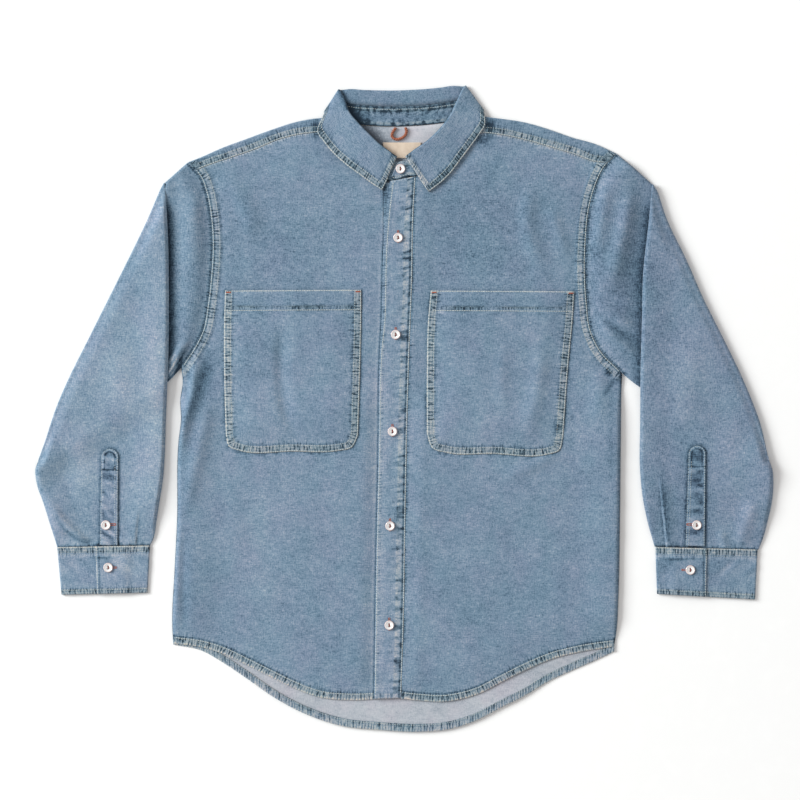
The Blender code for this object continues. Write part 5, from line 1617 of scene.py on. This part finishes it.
def collar_routes():
    """The collar's two rows, down each front edge and round the outer one, with their widths."""
    roll, edge = np.moveaxis(neck_lines()[1][:, 3:], 1, 0)
    ahead = unit(roll - edge)
    routes = []
    for inset, width in ((1.0, BOLD), (7.8, 0.7)):
        line, skip = (edge + ahead * inset)[:, :2], round(inset / STATION_STEP)
        for step, at_roll, at_edge in ((1, -0.75, -0.8), (-1, 0.8, 0.85)):
            front, count = line[::step], np.argmax(edge[::step, 1] > EDGE_BEHIND)
            start = roll[::step][0, :2] + (at_roll * inset, -4)
            end = front[0] + (at_edge * inset, 0.2 * inset)
            routes.append((join(straight(start, end, 20), front[skip:count]), width))
    return routes


def stand_routes():
    """The rows of stitches on the collar stand: behind the neck, and along its free end in front."""
    neck, seam = np.moveaxis(neck_lines()[0][..., :2], 1, 0)
    up = unit(seam - neck)
    behind = neck[:, 1] > STAND_ROW_BEHIND
    free_end = slice(-18, -1)
    return [((seam - 3.9 * up)[behind], 0.6), ((neck + 2.9 * up)[free_end], 0.75),
            ((seam - 1.6 * up)[free_end], 0.6)]


def orange_stitches():
    """The buttonholes, and the bartacks at the pockets' upper corners."""
    upright, level = np.array([0.0, 1.0]), np.array([1.0, 0.0])
    segments = [s for x, y in FRONT_BUTTONS[1:] for s in buttonhole(np.array([x, y + 1.4]), upright, 14, 3.2)]
    for side in SIDES:
        inward = INWARD[side]
        segments += buttonhole(SLEEVE_BUTTONS[side] + np.array([inward * 5, 0.8]), level, 14, 3.4)
        segments += buttonhole(CUFF_BUTTONS[side] + np.array([inward * 3.6, 0]), level, 13, 3.0)
        for corner, inset in zip(pocket_corners(side), (4, -4)):
            segments += bartack(corner + (inward * inset, -2.4), level, 5.5, 2.4)
    return segments


def add_sewing():
    pockets = ["pocket_right_panel", "pocket_left_panel"]
    cuffs = ["cuff_right_band", "cuff_left_band", "sleeve_placket_right_strip", "sleeve_placket_left_strip"]
    fronts = ["back_panel", "yoke_panel", "front_right_panel", "front_left_panel", "placket_left_band"]
    for name, routes, beneath in (("body", body_routes(), fronts + pockets), ("cuff", cuff_routes(), cuffs),
                                  ("collar", collar_routes(), ["collar_fall"]),
                                  ("stand", stand_routes(), ["collar_stand_band"])):
        segments = [stitch for route, width in routes for stitch in row_of_stitches(route, width)]
        add_stitches(f"{name}_topstitching", segments, beneath, CREAM_THREAD)
    add_stitches("orange_sewing", orange_stitches(), ["placket_left_band"] + cuffs + pockets, ORANGE_THREAD)


# ---- trims
BUTTON_PROFILE = [   # radius and height, from the underside round the rim to the sunk middle
    (4.6, 0.0), (5.3, 0.1), (5.8, 0.45), (6.0, 0.95), (5.95, 1.45), (5.7, 1.85), (5.3, 2.1), (4.9, 2.15),
    (4.55, 2.05), (4.3, 1.85), (4.1, 1.7), (3.8, 1.62),
]
BUTTON_SIDES, HOLE_SIDES = 48, 14
HOLE_R, HOLES_AT = 0.85, (1.7, -1.7)
IN_HOLE = 0.7        # a triangle whose middle is nearer than this to a hole's centre lies in the hole
RIM_FROM = 4.4       # radius where the rim's colour starts


def circle(sides):
    angles = np.arange(sides) * 2 * np.pi / sides
    return np.stack([np.cos(angles), np.sin(angles)], 1)


def ring_faces(count, sides):
    """The faces between rings of points that follow each other."""
    return [[i + k, i + (k + 1) % sides, i + sides + (k + 1) % sides, i + sides + k]
            for i in range(0, (count - 1) * sides, sides) for k in range(sides)]


def tube(route, radius, sides):
    """Points and faces of a tube along a route in space, with closed ends."""
    ahead = unit(np.gradient(route, axis=0))
    side = np.cross(ahead, (0, 0, 1.0))
    side[np.linalg.norm(side, axis=1) < 1e-3] = (1, 0, 0)
    side = unit(side)
    round_it = circle(sides)[:, :, None]
    frames = np.stack([side, np.cross(side, ahead)], 1)[:, None]
    rings = route[:, None] + radius * (round_it * frames).sum(2)
    last = (len(route) - 1) * sides
    caps = [list(range(sides))[::-1], [last + k for k in range(sides)]]
    return rings.reshape(-1, 3), ring_faces(len(route), sides) + caps


def button_shape():
    """A turned disc with a round rim and a sunk middle, and the flat middle with its two thread holes."""
    points = [(r * x, r * y, z) for r, z in BUTTON_PROFILE for x, y in circle(BUTTON_SIDES)]
    faces = ring_faces(len(BUTTON_PROFILE), BUTTON_SIDES)
    mouths = {}
    for ring, underside in ((len(BUTTON_PROFILE) - 1, False), (0, True)):
        first = len(points)
        points += [(HOLE_R * x, at + HOLE_R * y, BUTTON_PROFILE[ring][1])
                   for at in HOLES_AT for x, y in circle(HOLE_SIDES)]
        loop = [ring * BUTTON_SIDES + k for k in range(BUTTON_SIDES)]
        mouths[underside] = [[first + h * HOLE_SIDES + k for k in range(HOLE_SIDES)] for h in (0, 1)]
        faces += fill_between(points, loop, mouths[underside], underside)
    for high, low in zip(mouths[False], mouths[True]):
        faces += [[high[k - 1], high[k], low[k], low[k - 1]] for k in [*range(1, HOLE_SIDES), 0]]
    return np.array(points), faces


def fill_between(points, loop, holes, flip):
    """Triangles between an outer loop and the holes in it."""
    flat = loop + [k for hole in holes for k in hole]
    starts = np.cumsum([0, len(loop)] + [len(h) for h in holes])
    edges = [(s + k, s + (k + 1) % (e - s)) for s, e in zip(starts[:-1], starts[1:]) for k in range(e - s)]
    places = [Vector(points[k][:2]) for k in flat]
    found = []
    for face in geometry.delaunay_2d_cdt(places, edges, [], 0, 1e-6)[2]:
        middle = sum((places[k] for k in face), Vector((0, 0))) / 3
        if all((middle - Vector((0, at))).length > IN_HOLE for at in HOLES_AT):
            found.append([flat[k] for k in face][::-1 if flip else 1])
    return found


def add_buttons():
    points, faces = button_shape()
    mesh = new_mesh("button", points, faces, pearl())
    add_layer(mesh, "rim", ease(np.linalg.norm(points[:, :2], axis=1) - RIM_FROM))
    names = [f"button_front_{n + 1}" for n in range(len(FRONT_BUTTONS))]
    names += [f"button_{place}_{side}" for place in ("sleeve", "cuff") for side in SIDES]
    threads = []
    # Three threads side by side, which come up in one hole and go down in the other.
    y = np.linspace(-1.9, 1.9, 9)
    z = 0.9 + 1.25 * np.sqrt(np.clip(1 - (y / 2.05) ** 4, 0, 1))
    for number, name in enumerate(names):
        low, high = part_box(name)
        centre = Vector(((low[0] + high[0]) / 2, (low[1] + high[1]) / 2, low[2]))
        finish_piece(placed(f"{name}_pearl", mesh, centre), "button", name)
        for offset in (-0.42, 0.0, 0.42):
            route = np.column_stack([np.full(9, offset + 0.1 * np.sin(number)), y, z])
            threads.append(tube(np.array(centre) / MM - OFFSET + route, 0.26, 6))
    add_mesh("button_thread", threads, RED_THREAD, "loop_cord")


STRAND_RADIUS = 0.85
STRAND_FROM_MIDDLE = 1.05
TWIST = 4.6          # length of cord in one turn of its strands


def add_loop():
    route = smooth(LOOP_ROUTE, 150)
    from_cloth = STRAND_RADIUS + STRAND_FROM_MIDDLE
    middle = raised(route, LOWEST + PLY / 2 + neck_lift(route[:, 0], route[:, 1]) + from_cloth)
    ahead = unit(np.gradient(route, axis=0))
    side = np.column_stack([-ahead[:, 1], ahead[:, 0], np.zeros(len(route))])
    turn = (lengths(route) * 2 * np.pi / TWIST)[:, None]
    strands = []
    for phase in (0, np.pi):
        twisted = np.cos(turn + phase) * side + np.sin(turn + phase) * (0, 0, 1.0)
        strands.append(tube(middle + STRAND_FROM_MIDDLE * twisted, STRAND_RADIUS, 10))
    add_mesh("hanger_loop_cord", strands, CORD, "loop_cord", "hanger_loop")


def add_label():
    x, y = np.meshgrid(np.linspace(*LABEL["x"], 33), np.linspace(*LABEL["y"], 17), indexing="ij")
    z = LOWEST + PLY / 2 + neck_lift(x, y) + 0.75 + 0.15 * cloud(x, y, 12, 7)
    cloth("neck_label", "patch", [np.stack([x, y, z], -1)], [{}], 0.6, (label_paint(),), slot="label")


# ---- the studio: sizes in metres
LAMP_AT = Vector((-7.2, 2.55, 4.5))
CAMERA_HEIGHT = 6
FLOOR_HALF = 4.0
FLOOR_Z = -0.0002    # just beneath the shirt


def add_studio():
    scene = bpy.context.scene
    scene.view_settings.view_transform = "Standard"
    world = bpy.data.worlds.new("Studio")
    world.use_nodes = True
    sky = world.node_tree.nodes["Background"].inputs
    sky["Color"].default_value = (1.0, 0.978, 0.962, 1)
    sky["Strength"].default_value = 0.70
    scene.world = world
    lamp = bpy.data.lights.new("Key", "AREA")
    lamp.shape, lamp.size, lamp.energy, lamp.color = "SQUARE", 4.2, 1080, (0.97, 1.0, 1.0)
    light = placed("Key", lamp, LAMP_AT)
    light.rotation_euler = (-LAMP_AT).to_track_quat("-Z", "Y").to_euler()
    light.visible_camera = False
    paint = Paint("Paper", {"Roughness": 0.9, "Specular IOR Level": 0.1})
    ramp = paint.node("ShaderNodeValToRGB", [("Fac", paint.noise(paint.place(), 0.02))])
    for element, grey in zip(ramp.color_ramp.elements, (0.785, 0.805)):
        element.color = (grey, grey, grey, 1)
    mesh = bpy.data.meshes.new("Floor")
    corners = [(x * FLOOR_HALF, y * FLOOR_HALF, 0) for x, y in ((-1, -1), (1, -1), (1, 1), (-1, 1))]
    mesh.from_pydata(corners, [], [(0, 1, 2, 3)])
    mesh.materials.append(paint.finish(ramp.outputs["Color"]))
    placed("Floor", mesh, (0, 0, FLOOR_Z))
    view = bpy.data.cameras.new("Camera")
    view.lens, view.sensor_width, view.clip_end = 216, 36, 100
    above = (Vector(CAMERA_AT) + Vector(OFFSET)) * MM + Vector((0, 0, CAMERA_HEIGHT))
    scene.camera = placed("Camera", view, above)


def main():
    build_back()
    build_yoke()
    build_band("placket_right", UNDER_BAND_OUTER, [(x + BAND_WIDTH, y) for x, y in UNDER_BAND_OUTER],
               UNDER_BAND_Z, (283, 283), 22)
    for side in SIDES:
        build_front(side)
        build_pocket(side)
        build_sleeve(side)
        build_sleeve_placket(side)
        build_cuff(side)
    build_band("placket_left", FREE_EDGE, [(x - SEAM, y) for x, y in TOP_BAND_SEWN], TOP_BAND_Z,
               (284.6, 290.6), 26)
    build_stand()
    build_collar()
    add_buttons()
    add_loop()
    add_label()
    add_sewing()
    add_studio()


main()
